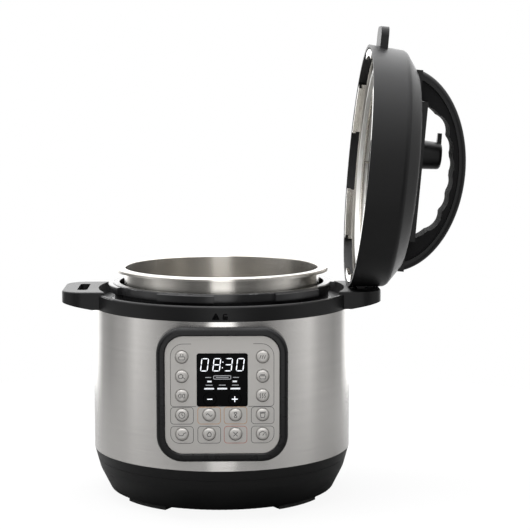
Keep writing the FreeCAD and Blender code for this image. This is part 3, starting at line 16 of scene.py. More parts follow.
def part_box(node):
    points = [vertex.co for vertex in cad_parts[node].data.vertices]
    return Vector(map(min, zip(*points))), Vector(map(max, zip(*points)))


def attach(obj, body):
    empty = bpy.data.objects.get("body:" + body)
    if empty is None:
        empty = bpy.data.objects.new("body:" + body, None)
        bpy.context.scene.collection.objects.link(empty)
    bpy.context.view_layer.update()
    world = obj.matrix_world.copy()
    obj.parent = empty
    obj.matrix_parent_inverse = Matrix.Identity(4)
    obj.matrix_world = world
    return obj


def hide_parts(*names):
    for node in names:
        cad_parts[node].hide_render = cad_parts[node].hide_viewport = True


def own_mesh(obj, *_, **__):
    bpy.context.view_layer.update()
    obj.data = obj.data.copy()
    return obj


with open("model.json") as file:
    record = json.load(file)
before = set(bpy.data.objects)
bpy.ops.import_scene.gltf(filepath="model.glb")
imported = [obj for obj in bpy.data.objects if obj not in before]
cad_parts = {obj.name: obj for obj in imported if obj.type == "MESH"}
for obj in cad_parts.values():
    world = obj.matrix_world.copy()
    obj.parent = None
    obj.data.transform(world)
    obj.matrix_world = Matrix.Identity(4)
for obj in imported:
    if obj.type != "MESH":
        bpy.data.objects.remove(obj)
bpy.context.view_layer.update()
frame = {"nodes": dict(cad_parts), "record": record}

bl_info = {
    "name": "Pressure Cooker Looks",
    "version": (1, 0, 0),
    "blender": (4, 5, 0),
    "location": "3D View > Sidebar > Cooker",
    "description": "Gives the cooker's pieces their finishes, panel print, display and studio light",
    "category": "Object",
}

MM = 0.001
WHITE = (1.0, 1.0, 1.0, 1.0)
UP = Vector((0.0, 0.0, 1.0))

NODES = frame["nodes"]
RECORD = frame["record"]
SLOTS = {piece["node"]: piece["material_slot"] for piece in RECORD["subparts"]}
BODIES = {node: body for body, nodes in RECORD["behaviour"]["bodies"].items() for node in nodes}
JOINTS = {joint["name"]: joint for joint in RECORD["behaviour"]["joints"]}
KEYS = [node for node in NODES if node.startswith("key_")]
LID_AXIS = Vector(JOINTS["float_rise"]["axis"])


# Node kit: sockets that add up, and trees that take any node

class Wire:
    """A socket that takes part in sums; each sum adds a Math node to its tree."""

    def __init__(self, tree, socket):
        self.tree = tree
        self.socket = socket

    def sum(self, operation, left, right):
        return self.tree.node("ShaderNodeMath", {"operation": operation}, {0: left, 1: right})

    def __add__(self, other):
        return self.sum("ADD", self, other)

    def __sub__(self, other):
        return self.sum("SUBTRACT", self, other)

    def __rsub__(self, other):
        return self.sum("SUBTRACT", other, self)

    def __mul__(self, other):
        return self.sum("MULTIPLY", self, other)

    def __truediv__(self, other):
        return self.sum("DIVIDE", self, other)

    def __gt__(self, other):
        return self.sum("GREATER_THAN", self, other)

    __radd__ = __add__
    __rmul__ = __mul__


class Tree:
    """A node tree under construction, with one method that adds any node."""

    def __init__(self, tree):
        self.tree = tree

    def node(self, kind, settings, values, output=0):
        """Add a node with its settings, then its values and links, and hand back one of its outputs."""
        item = self.tree.nodes.new(kind)
        for name, value in settings.items():
            setattr(item, name, value)
        for key, value in values.items():
            if isinstance(value, Wire):
                self.tree.links.new(value.socket, item.inputs[key])
            else:
                item.inputs[key].default_value = value
        return Wire(self, item.outputs[output]) if item.outputs else item


class Finish(Tree):
    """A material: object coordinates, noise, colour mixing and the closing shader."""

    # Sockets of a Mix node set to colours, by number because its socket names repeat
    SHARE, FIRST, SECOND, MIXED = 0, 6, 7, 2

    def __init__(self, name):
        self.material = bpy.data.materials.new(name)
        self.material.use_nodes = True
        super().__init__(self.material.node_tree)
        self.tree.nodes.clear()
        self.place = self.node("ShaderNodeTexCoord", {}, {}, "Object")

    def noise(self, scale, detail, stretch=(1.0, 1.0, 1.0)):
        spot = self.node("ShaderNodeMapping", {}, {"Vector": self.place, "Scale": stretch})
        return self.node("ShaderNodeTexNoise", {}, {"Vector": spot, "Scale": scale, "Detail": detail})

    def mix(self, share, first, second):
        return self.node("ShaderNodeMix", {"data_type": "RGBA"},
                         {self.SHARE: share, self.FIRST: first, self.SECOND: second}, self.MIXED)

    def bump(self, height, depth):
        return self.node("ShaderNodeBump", {}, {"Height": height, "Distance": depth})

    def close(self, **sockets):
        """End the tree in one shader; socket names are written with underscores."""
        values = {name.replace("_", " "): value for name, value in sockets.items()}
        shader = self.node("ShaderNodeBsdfPrincipled", {}, values)
        self.node("ShaderNodeOutputMaterial", {}, {"Surface": shader})
        return self.material


def settled(name, mesh, add_modifier):
    """Run a modifier on a mesh and hand back the result as a plain mesh."""
    source = bpy.data.objects.new(name, mesh)
    bpy.context.scene.collection.objects.link(source)
    add_modifier(source.modifiers)
    graph = bpy.context.evaluated_depsgraph_get()
    result = bpy.data.meshes.new_from_object(source.evaluated_get(graph), depsgraph=graph)
    bpy.data.objects.remove(source)
    return result


class Shape(Tree):
    """A geometry tree with named inputs that ends in one painted, realized mesh."""

    def __init__(self, name, **inputs):
        super().__init__(bpy.data.node_groups.new(name, "GeometryNodeTree"))
        kinds = {"Geometry": "Geometry", **inputs, "Paint": "Material"}
        for label, kind in kinds.items():
            self.tree.interface.new_socket(label.replace("_", " "), in_out="INPUT",
                                           socket_type=f"NodeSocket{kind}")
        self.tree.interface.new_socket("Geometry", in_out="OUTPUT", socket_type="NodeSocketGeometry")
        self.entry = self.tree.nodes.new("NodeGroupInput")

    def given(self, name):
        return Wire(self, self.entry.outputs[name])

    def close(self, geometry):
        real = self.node("GeometryNodeRealizeInstances", {}, {0: geometry})
        painted = self.node("GeometryNodeSetMaterial", {},
                            {"Geometry": real, "Material": self.given("Paint")})
        self.node("NodeGroupOutput", {}, {0: painted})
        return self

    def grow(self, name, mesh, values):
        """Run the tree on a mesh, with its inputs set by name."""
        def add_tree(modifiers):
            modifier = modifiers.new(name, "NODES")
            modifier.node_group = self.tree
            for item in self.tree.interface.items_tree:
                if item.in_out == "INPUT" and item.name in values:
                    modifier[item.identifier] = values[item.name]
        return settled(name, mesh, add_tree)


# Settings that a user would change

class CookerFinishes(bpy.types.PropertyGroup):
    """Colours of the finishes"""
    steel: FloatVectorProperty(
        name="Steel", description="Colour of the jacket's brushed steel",
        subtype="COLOR", size=4, default=(0.62, 0.605, 0.585, 1.0))
    polished: FloatVectorProperty(
        name="Polished steel", description="Colour of the pot and the lid's inside",
        subtype="COLOR", size=4, default=(0.54, 0.52, 0.485, 1.0))
    plastic: FloatVectorProperty(
        name="Black plastic", description="Colour of the ring, base and lid",
        subtype="COLOR", size=4, default=(0.0045, 0.0045, 0.0047, 1.0))
    film: FloatVectorProperty(
        name="Panel film", description="Colour of the panel's silver film",
        subtype="COLOR", size=4, default=(0.475, 0.46, 0.44, 1.0))
    ink: FloatVectorProperty(
        name="Ink", description="Colour of the printed lines and signs",
        subtype="COLOR", size=4, default=(0.055, 0.055, 0.055, 1.0))
    light: FloatVectorProperty(
        name="Display light", description="Colour of the lit display",
        subtype="COLOR", size=4, default=(0.92, 0.95, 1.0, 1.0))


class CookerPanel(bpy.types.PropertyGroup):
    """Sizes of the print, the display and the painted shade of the screws' recesses"""
    line_width: FloatProperty(
        name="Line width", description="Width of the lines printed on the panel",
        default=0.45 * MM, unit="LENGTH")
    sign_width: FloatProperty(
        name="Sign width", description="Width of the strokes of the key signs",
        default=0.62 * MM, unit="LENGTH")
    ink_height: FloatProperty(
        name="Ink height", description="Thickness of the print",
        default=0.04 * MM, unit="LENGTH")
    # The recess is drawn as a star of painted shade with this reach
    recess_size: FloatProperty(
        name="Recess size", description="Reach of a screw's driver recess",
        default=1.7 * MM, unit="LENGTH")
    shown: StringProperty(
        name="Shown", description="The four digits on the display", default="0830")
    digit_height: FloatProperty(
        name="Digit height", description="Height of the display's digits",
        default=11.0 * MM, unit="LENGTH")
    digit_width: FloatProperty(
        name="Digit width", description="Width of the display's digits",
        default=5.9 * MM, unit="LENGTH")
    bar_width: FloatProperty(
        name="Bar width", description="Width of a digit's bars",
        default=1.0 * MM, unit="LENGTH")
    slant: FloatProperty(
        name="Slant", description="Sideways lean of the digits for each unit of height", default=0.12)


class CookerStage(bpy.types.PropertyGroup):
    """Place of the camera and size of the floor"""
    camera_place: FloatVectorProperty(
        name="Camera place", description="Where the camera stands",
        default=(-0.0026, -1.574, 0.395), subtype="TRANSLATION")
    camera_turn: FloatVectorProperty(
        name="Camera turn", description="Which way the camera looks",
        default=(math.radians(83.5), 0.0, math.radians(-1.6)), subtype="EULER")
    lens: FloatProperty(
        name="Lens", description="Focal length in millimetres on a 36 mm frame", default=112.8)
    floor_size: FloatProperty(
        name="Floor size", description="Radius of the pale floor", default=0.62, unit="LENGTH")


# Meshes and pieces

# Distance at which the loose triangles' corners are joined
MERGE = 1e-6
# Depth under a screw head's highest point that still counts as its outer face
FACE_DEPTH = 10 * MERGE
# Angles past which an edge stays sharp
CREASE = math.radians(28.0)
POT_CREASE = math.radians(60.0)
# From where prints are cast onto the front, and which way
CAST_FROM = -1.0
CAST_ALONG = Vector((0.0, 1.0, 0.0))


def add_piece(name, mesh, body, nodes=()):
    """Link a finished mesh as a piece that rides on a body, standing for the nodes it replaces."""
    piece = bpy.data.objects.new(name, mesh)
    bpy.context.scene.collection.objects.link(piece)
    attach(piece, body)
    if nodes:
        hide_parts(*nodes)
    return piece


def paint(mesh, material):
    mesh.materials.clear()
    mesh.materials.append(material)


def merged(node):
    """A copy of a CAD node's mesh with its loose triangles joined."""
    form = bmesh.new()
    form.from_mesh(NODES[node].data)
    bmesh.ops.remove_doubles(form, verts=form.verts, dist=MERGE)
    return form


def lead_by_large_faces(modifiers):
    """Keep flat faces flat beside their small rounded edges."""
    modifiers.new("even_shading", "WEIGHTED_NORMAL").keep_sharp = True


def skin(node, look=None, crease=CREASE):
    """Stand a joined, smooth-shaded copy in for a CAD node, in its slot's finish or another look."""
    mesh = bpy.data.meshes.new(f"{node}_skin")
    form = merged(node)
    form.to_mesh(mesh)
    form.free()
    # The CAD mesh's own normals would override the smooth shading
    if "custom_normal" in mesh.attributes:
        mesh.attributes.remove(mesh.attributes["custom_normal"])
    mesh.shade_smooth()
    mesh.set_sharp_from_angle(angle=crease)
    mesh = settled(node, mesh, lead_by_large_faces)
    paint(mesh, finish(look or SLOTS[node]))
    return add_piece(f"{node}_skin", mesh, BODIES[node], [node])


def wire_mesh(name, strokes, corner):
    """Edges through each stroke's points, in millimetres on the print's plane.

    A stroke is (points, closed); a point is (x, y) or (x, y, radius of its turn).
    """
    points, edges, turns = [], [], []
    for stroke, closed in strokes:
        first = len(points)
        for x, y, *turn in stroke:
            points.append((x * MM, y * MM, 0.0))
            turns.append((turn[0] if turn else corner) * MM)
        edges += [(i, i + 1) for i in range(first, len(points) - 1)]
        if closed:
            edges.append((len(points) - 1, first))
    mesh = bpy.data.meshes.new(name)
    mesh.from_pydata(points, edges, [])
    mesh.attributes.new("turn", "FLOAT", "POINT").data.foreach_set("value", turns)
    return mesh


def lay_on(mesh, node):
    """Stand a print, drawn as (x, z), on the front of a node, with a quarter of its height sunk in."""
    lift = bpy.context.scene.cooker_panel.ink_height / 4
    form = merged(node)
    surface = BVHTree.FromBMesh(form)
    form.free()
    for vertex in mesh.vertices:
        x, z, height = vertex.co
        spot, _, _, _ = surface.ray_cast(Vector((x, CAST_FROM, z)), CAST_ALONG)
        if spot is None:
            raise RuntimeError(f"print runs off {node}")
        vertex.co = (x, spot.y - height - lift, z)
    turned = bmesh.new()
    turned.from_mesh(mesh)
    bmesh.ops.recalc_face_normals(turned, faces=turned.faces)
    turned.to_mesh(mesh)
    turned.free()


# Finishes

# How noise is drawn out into marks that run level round the pot's axis
FINE_STREAKS = (45.0, 45.0, 5200.0)
BROAD_STREAKS = (9.0, 9.0, 420.0)
TURNING_MARKS = (30.0, 30.0, 2400.0)
PLATE_RINGS = (60.0, 60.0, 2600.0)


def shaded(colour, share):
    """A colour made darker or lighter."""
    return (*(share * part for part in colour[:3]), 1.0)


def turned_steel(name, colour, roughness):
    """Steel brushed round the pot's axis: fine level streaks, and a soft cloud of handling marks."""
    look = Finish(name)
    streak = look.noise(1.0, 3.0, FINE_STREAKS)
    broad = look.noise(1.0, 2.0, BROAD_STREAKS)
    cloud = look.noise(14.0, 3.0)
    tone = look.mix(streak * 0.5 + broad * 0.5, shaded(colour, 0.82), colour)
    return look.close(Base_Color=tone, Metallic=1.0, Roughness=roughness + streak * 0.08 + cloud * 0.04,
                      Anisotropic=0.95, Anisotropic_Rotation=0.25, Normal=look.bump(streak, 0.012 * MM))


def brushed_steel():
    return turned_steel("brushed_steel", bpy.context.scene.cooker_finishes.steel, roughness=0.15)


def pot_steel():
    return turned_steel("pot_steel", bpy.context.scene.cooker_finishes.polished, roughness=0.19)


def polished_steel():
    """Drawn and polished steel with faint turning marks."""
    look = Finish("polished_steel")
    marks = look.noise(1.0, 2.0, TURNING_MARKS)
    cloud = look.noise(22.0, 3.0)
    colour = bpy.context.scene.cooker_finishes.polished
    tone = look.mix(cloud, shaded(colour, 0.9), colour)
    return look.close(Base_Color=tone, Metallic=1.0, Roughness=0.12 + marks * 0.04 + cloud * 0.04,
                      Normal=look.bump(marks, 0.003 * MM))


def plain_steel():
    look = Finish("plain_steel")
    cloud = look.noise(60.0, 4.0)
    grain = look.noise(1900.0, 1.0)
    tone = look.mix(cloud, (0.42, 0.42, 0.41, 1.0), (0.58, 0.575, 0.56, 1.0))
    return look.close(Base_Color=tone, Metallic=1.0, Roughness=0.28 + cloud * 0.14 + grain * 0.05)


def aluminium():
    look = Finish("aluminium")
    rings = look.noise(1.0, 2.0, PLATE_RINGS)
    cloud = look.noise(70.0, 3.0)
    tone = look.mix(cloud, (0.60, 0.60, 0.61, 1.0), (0.74, 0.74, 0.75, 1.0))
    return look.close(Base_Color=tone, Metallic=1.0, Roughness=0.30 + rings * 0.12 + cloud * 0.08,
                      Normal=look.bump(rings, 0.02 * MM))


def moulded_black(name, roughness, grain_depth):
    """Moulded black plastic: a fine spark-eroded grain under a soft sheen, with faint rubbed patches."""
    look = Finish(name)
    grain = look.noise(2600.0, 2.0)
    rub = look.noise(26.0, 3.0)
    colour = bpy.context.scene.cooker_finishes.plastic
    tone = look.mix(rub, colour, shaded(colour, 1.5))
    return look.close(Base_Color=tone, Roughness=roughness + grain * 0.08 + rub * 0.06,
                      Specular_IOR_Level=0.22, Normal=look.bump(grain, grain_depth))


def black_plastic():
    return moulded_black("black_plastic", roughness=0.34, grain_depth=0.018 * MM)


def handle_black():
    return moulded_black("handle_black", roughness=0.30, grain_depth=0.012 * MM)


def grip_black():
    """The softer, matt plastic of the handle's grip."""
    return moulded_black("grip_black", roughness=0.75, grain_depth=0.03 * MM)


def component():
    return moulded_black("component", roughness=0.42, grain_depth=0.02 * MM)


def gloss_black():
    """Polished black bezel with a thin clear coat."""
    look = Finish("gloss_black")
    haze = look.noise(120.0, 3.0)
    tone = look.mix(haze, (0.006, 0.006, 0.0065, 1.0), (0.011, 0.011, 0.0115, 1.0))
    return look.close(Base_Color=tone, Roughness=0.24 + haze * 0.08, Specular_IOR_Level=0.16,
                      Coat_Weight=0.04, Coat_Roughness=0.10)


def black_coated():
    """Baked black coating on the locking flange, rubbed on its high spots."""
    look = Finish("black_coated")
    speck = look.noise(900.0, 2.0)
    rub = look.noise(40.0, 3.0)
    tone = look.mix(rub, (0.012, 0.012, 0.013, 1.0), (0.028, 0.028, 0.029, 1.0))
    return look.close(Base_Color=tone, Metallic=0.2, Roughness=0.14 + speck * 0.08 + rub * 0.06,
                      Normal=look.bump(speck, 0.02 * MM))


def silver_film(name="silver_film", lift=1.0):
    """Silver-painted film with a fine metallic fleck."""
    look = Finish(name)
    fleck = look.noise(4200.0, 1.0)
    cloud = look.noise(35.0, 3.0)
    colour = shaded(bpy.context.scene.cooker_finishes.film, lift)
    tone = look.mix(fleck * 0.6 + cloud * 0.4, shaded(colour, 0.88), shaded(colour, 1.1))
    return look.close(Base_Color=tone, Metallic=0.35, Roughness=0.36 + fleck * 0.10,
                      Normal=look.bump(fleck, 0.006 * MM))


def key_silver():
    return silver_film("key_silver", lift=1.12)


def display_black():
    look = Finish("display_black")
    haze = look.noise(90.0, 2.0)
    tone = look.mix(haze, (0.0012, 0.0012, 0.0014, 1.0), (0.002, 0.002, 0.0022, 1.0))
    return look.close(Base_Color=tone, Roughness=0.22 + haze * 0.06, Specular_IOR_Level=0.03)


def rubber():
    look = Finish("rubber")
    grain = look.noise(1800.0, 2.0)
    dust = look.noise(55.0, 4.0)
    tone = look.mix(dust, (0.018, 0.018, 0.018, 1.0), (0.04, 0.04, 0.039, 1.0))
    return look.close(Base_Color=tone, Roughness=0.62 + grain * 0.2, Normal=look.bump(grain, 0.04 * MM))


def silicone():
    look = Finish("silicone")
    cloud = look.noise(80.0, 3.0)
    tone = look.mix(cloud, (0.66, 0.66, 0.64, 1.0), (0.78, 0.78, 0.76, 1.0))
    return look.close(Base_Color=tone, Roughness=0.42 + cloud * 0.15, Subsurface_Weight=0.25,
                      Subsurface_Radius=(3.0 * MM, 3.0 * MM, 3.0 * MM))


def circuit_board():
    look = Finish("circuit_board")
    tracks = look.noise(260.0, 0.0) > 0.52
    tone = look.mix(tracks, (0.012, 0.09, 0.04, 1.0), (0.03, 0.17, 0.08, 1.0))
    return look.close(Base_Color=tone, Roughness=0.30 + tracks * 0.1)


def brass():
    look = Finish("brass")
    cloud = look.noise(300.0, 3.0)
    tone = look.mix(cloud, (0.62, 0.50, 0.26, 1.0), (0.78, 0.66, 0.38, 1.0))
    return look.close(Base_Color=tone, Metallic=1.0, Roughness=0.22 + cloud * 0.14)


def clear_plastic():
    look = Finish("clear_plastic")
    cloud = look.noise(60.0, 2.0)
    tone = look.mix(cloud, (0.86, 0.88, 0.89, 1.0), (0.94, 0.95, 0.96, 1.0))
    return look.close(Base_Color=tone, Roughness=0.10 + cloud * 0.08, Transmission_Weight=0.9, IOR=1.49)


def printing_ink(name, colour):
    look = Finish(name)
    speck = look.noise(3000.0, 1.0)
    tone = look.mix(speck, colour, shaded(colour, 1.4))
    return look.close(Base_Color=tone, Roughness=0.45 + speck * 0.1)


def ink():
    return printing_ink("ink", bpy.context.scene.cooker_finishes.ink)


def warm_ink():
    return printing_ink("warm_ink", (0.42, 0.22, 0.09, 1.0))


def red_ink():
    return printing_ink("red_ink", (0.36, 0.10, 0.07, 1.0))


def lit(name, level):
    """A lit part of the display, a little uneven as a diffused lamp is."""
    look = Finish(name)
    glow = look.noise(500.0, 1.0)
    colour = shaded(bpy.context.scene.cooker_finishes.light, level)
    tone = look.mix(glow, shaded(colour, 0.9), colour)
    return look.close(Base_Color=tone, Roughness=0.4, Emission_Color=tone, Emission_Strength=0.85)


def display_light():
    return lit("display_light", level=1.0)


def display_level():
    return lit("display_level", level=0.6)


def display_dim():
    return lit("display_dim", level=0.22)


FINISHES = {
    maker.__name__: maker
    for maker in (brushed_steel, pot_steel, polished_steel, plain_steel, aluminium, black_plastic,
                  handle_black, grip_black, component, gloss_black, black_coated, silver_film,
                  key_silver, display_black, rubber, silicone, circuit_board, brass, clear_plastic,
                  ink, warm_ink, red_ink, display_light, display_level, display_dim)
}
made_finishes = {}


def finish(name):
    """The material of a slot or another look, made once."""
    if name not in made_finishes:
        made_finishes[name] = FINISHES[name]()
    return made_finishes[name]


# Print on the panel, keys and ring

# How far apart the points of a printed line lie, and how many round each turn
PRINT_STEP = 0.5 * MM
TURN_POINTS = 8
made_shapes = {}


def print_shape():
    """Sweep a flat ribbon of ink along strokes, with rounded turns."""
    shape = Shape("printed_strokes", Line_width="Float", Ink_height="Float", Step="Float")
    path = shape.node("GeometryNodeMeshToCurve", {}, {0: shape.given("Geometry")})
    turn = shape.node("GeometryNodeInputNamedAttribute", {"data_type": "FLOAT"}, {"Name": "turn"})
    path = shape.node("GeometryNodeFilletCurve", {"mode": "POLY"},
                      {"Curve": path, "Count": TURN_POINTS, "Radius": turn, "Limit Radius": True})
    path = shape.node("GeometryNodeResampleCurve", {"mode": "LENGTH"},
                      {"Curve": path, "Length": shape.given("Step")})
    path = shape.node("GeometryNodeSetCurveNormal", {"mode": "Z_UP"}, {0: path})
    section = shape.node("GeometryNodeCurvePrimitiveQuadrilateral", {"mode": "RECTANGLE"},
                         {0: shape.given("Line width"), 1: shape.given("Ink height")})
    ribbon = shape.node("GeometryNodeCurveToMesh", {},
                        {"Curve": path, "Profile Curve": section, "Fill Caps": True})
    return shape.close(ribbon)


def printed(name, strokes, node, colour, width, corner=0.0):
    """Print strokes on the front of a node, as a piece that rides with it."""
    panel = bpy.context.scene.cooker_panel
    if "print" not in made_shapes:
        made_shapes["print"] = print_shape()
    mesh = made_shapes["print"].grow(name, wire_mesh(name, strokes, corner), {
        "Line width": width, "Ink height": panel.ink_height, "Step": PRINT_STEP,
        "Paint": finish(colour)})
    lay_on(mesh, node)
    return add_piece(name, mesh, BODIES[node])


def line(*points):
    """An open stroke."""
    return points, False


def loop(*points):
    """A closed stroke."""
    return points, True


def framed(left, right, low, high):
    return loop((left, low), (right, low), (right, high), (left, high))


def dashes(rows):
    """Level strokes, each given by its left end, its height and its length."""
    return [line((x, y), (x + length, y)) for x, y, length in rows]


# Signs on the keys, in millimetres from each key's middle
BOWL = loop((-3.0, 0.4), (-2.2, -2.4), (2.2, -2.4), (3.0, 0.4))
DIAL_RADIUS = 2.8
DIAL_ANGLES = [math.radians(degrees) for degrees in range(0, 360, 30)]
DIAL = loop(*((DIAL_RADIUS * math.cos(angle), DIAL_RADIUS * math.sin(angle)) for angle in DIAL_ANGLES))
KEY_SIGNS = {
    "key_soup": [BOWL, line((-1.2, 1.2), (-0.7, 2.0), (-1.2, 2.8)),
                 line((1.0, 1.2), (1.5, 2.0), (1.0, 2.8))],
    "key_meat": [loop((-2.6, -1.6), (-2.9, 0.9), (-0.6, 2.3), (1.2, 0.8), (0.2, -1.8)),
                 line((1.0, -0.6), (3.1, -2.3))],
    "key_bean": [loop((-3.0, 0.0), (-2.2, 1.9), (-0.2, 1.6), (-1.0, 0.0), (-0.2, -1.6), (-2.2, -1.9)),
                 loop((0.5, 0.0), (1.2, 1.9), (3.1, 1.6), (2.3, 0.0), (3.1, -1.6), (1.2, -1.9))],
    "key_slow_cook": [DIAL, line((0.0, 1.7), (0.0, 0.0), (1.3, -0.8))],
    "key_saute": [line((-3.2, 0.9), (-2.5, -1.1), (0.9, -1.1), (1.5, 0.9)),
                  line((1.4, 0.7), (3.6, 1.6))],
    "key_rice": [line((x - 0.6, -1.6), (x + 0.6, 1.6)) for x in (-2.0, 0.0, 2.0)],
    "key_porridge": [BOWL, line((-2.0, 1.4), (2.0, 1.4))],
    "key_steam": [line((x - 0.5, -2.4), (x + 0.5, -0.9), (x - 0.5, 0.7), (x + 0.5, 2.4))
                  for x in (-2.0, 0.0, 2.0)],
    "key_yogurt": [loop((-2.2, 1.5), (-1.6, -2.4), (1.6, -2.4), (2.2, 1.5)),
                   line((-2.7, 2.4), (2.7, 2.4))],
    "key_pressure_cook": [line((-3.0, -1.4), (-2.9, 1.1), (0.0, 2.6), (2.9, 1.1), (3.0, -1.4)),
                          line((0.0, -1.2), (1.5, 0.8))],
    "key_pressure_level": [line((-2.6, 0.0), (-1.3, 1.7), (0.0, 0.0)),
                           line((0.2, 0.4), (1.5, -1.5), (2.8, 0.4))],
    "key_delay_start": [loop((-1.9, 2.3), (1.9, 2.3), (-1.9, -2.3), (1.9, -2.3))],
    "key_keep_warm": [loop((0.0, 2.7), (1.9, 0.4), (1.4, -2.0), (-1.4, -2.0), (-1.9, 0.2), (-0.7, 0.9))],
    "key_cancel": [line((-1.9, -1.9), (1.9, 1.9)), line((-1.9, 1.9), (1.9, -1.9))],
    "key_minus": [line((-2.3, 0.0), (2.3, 0.0))],
    "key_plus": [line((-2.6, 0.0), (2.6, 0.0)), line((0.0, -2.6), (0.0, 2.6))],
}


def spot_of(node):
    """Where a node's middle lies across and up the front, in millimetres."""
    low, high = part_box(node)
    middle = (low + high) / 2 / MM
    return middle.x, middle.z


def moved(strokes, x, y):
    return [([(x + a, y + b, *turn) for a, b, *turn in points], closed) for points, closed in strokes]


def nested(corners, shares):
    """Strokes round an outline and inside it, which together fill it."""
    x, y = (sum(values) / len(corners) for values in zip(*corners))
    return [loop(*((x + (a - x) * share, y + (b - y) * share) for a, b in corners)) for share in shares]


# Display digits

# Each bar of a digit: how far across and up its middle lies, and whether it stands upright
SEGMENTS = {
    "top": (0.5, 1.0, 0), "middle": (0.5, 0.5, 0), "bottom": (0.5, 0.0, 0),
    "high_left": (0.0, 0.75, 1), "high_right": (1.0, 0.75, 1),
    "low_left": (0.0, 0.25, 1), "low_right": (1.0, 0.25, 1),
}
DARK_SEGMENTS = {
    "0": ("middle",), "1": ("top", "middle", "bottom", "high_left", "low_left"),
    "2": ("high_left", "low_right"), "3": ("high_left", "low_left"), "4": ("top", "bottom", "low_left"),
    "5": ("high_right", "low_left"), "6": ("high_right",),
    "7": ("middle", "bottom", "high_left", "low_left"), "8": (), "9": ("low_left",),
}


def digit_shape():
    """Set a six-sided bar on each point, turned upright where the point says so, and lean the row."""
    shape = Shape("digit_bars", Bar_length="Float", Bar_width="Float", Ink_height="Float", Slant="Float")
    upright = shape.node("GeometryNodeInputNamedAttribute", {"data_type": "FLOAT"}, {"Name": "upright"})
    turn = shape.node("ShaderNodeCombineXYZ", {}, {2: upright * (math.pi / 2)})
    bar = shape.node("GeometryNodeMeshCylinder", {}, {"Vertices": 6, "Radius": 0.5, "Depth": 1.0})
    size = shape.node("ShaderNodeCombineXYZ", {}, {
        0: shape.given("Bar length"), 1: shape.given("Bar width"), 2: shape.given("Ink height")})
    bar = shape.node("GeometryNodeTransform", {}, {"Geometry": bar, "Scale": size})
    bars = shape.node("GeometryNodeInstanceOnPoints", {},
                      {"Points": shape.given("Geometry"), "Instance": bar, "Rotation": turn})
    bars = shape.node("GeometryNodeRealizeInstances", {}, {0: bars})
    spot = shape.node("GeometryNodeInputPosition", {}, {})
    height = shape.node("ShaderNodeSeparateXYZ", {}, {0: spot}, "Y")
    lean = shape.node("ShaderNodeCombineXYZ", {}, {0: height * shape.given("Slant")})
    bars = shape.node("GeometryNodeSetPosition", {}, {"Geometry": bars, "Offset": lean})
    return shape.close(bars)


# Screw recesses, which show only as painted shade

# How far in the recess's waist lies, as a share of its reach
RECESS_WAIST = 0.3


def recess_shade_shape():
    """Lay a near-black four-pointed star on the head at each point: painted shade standing in for the
    driver's recess, which is not cut.
    """
    shape = Shape("driver_recess", Recess_size="Float", Inlay_height="Float", Head_axis="Vector")
    size = shape.given("Recess size")
    star = shape.node("GeometryNodeCurveStar", {},
                      {"Points": 4, "Inner Radius": size * RECESS_WAIST, "Outer Radius": size})
    # The star stands proud by the print's height; it is painted shade, not a hollow
    rise = shape.node("ShaderNodeCombineXYZ", {}, {2: shape.given("Inlay height")})
    core = shape.node("GeometryNodeCurvePrimitiveLine", {}, {"End": rise})
    mark = shape.node("GeometryNodeCurveToMesh", {},
                      {"Curve": core, "Profile Curve": star, "Fill Caps": True})
    turn = shape.node("FunctionNodeAlignRotationToVector", {"axis": "Z"},
                      {"Vector": shape.given("Head axis")})
    marks = shape.node("GeometryNodeInstanceOnPoints", {},
                       {"Points": shape.given("Geometry"), "Instance": mark, "Rotation": turn})
    return shape.close(marks)


def head_points(node, axis):
    """The middle of each screw head's outer face."""
    form = merged(node)
    met, points = set(), []
    for first in form.verts:
        if first in met:
            continue
        met.add(first)
        island = [first]
        # The list grows while it is walked, until the whole screw is in it
        for vertex in island:
            near = [edge.other_vert(vertex) for edge in vertex.link_edges]
            island += [other for other in near if other not in met]
            met.update(near)
        top = max(vertex.co.dot(axis) for vertex in island)
        face = [vertex.co for vertex in island if vertex.co.dot(axis) > top - FACE_DEPTH]
        points.append(sum(face, Vector()) / len(face))
    form.free()
    return points


# Operators, one for each group of pieces

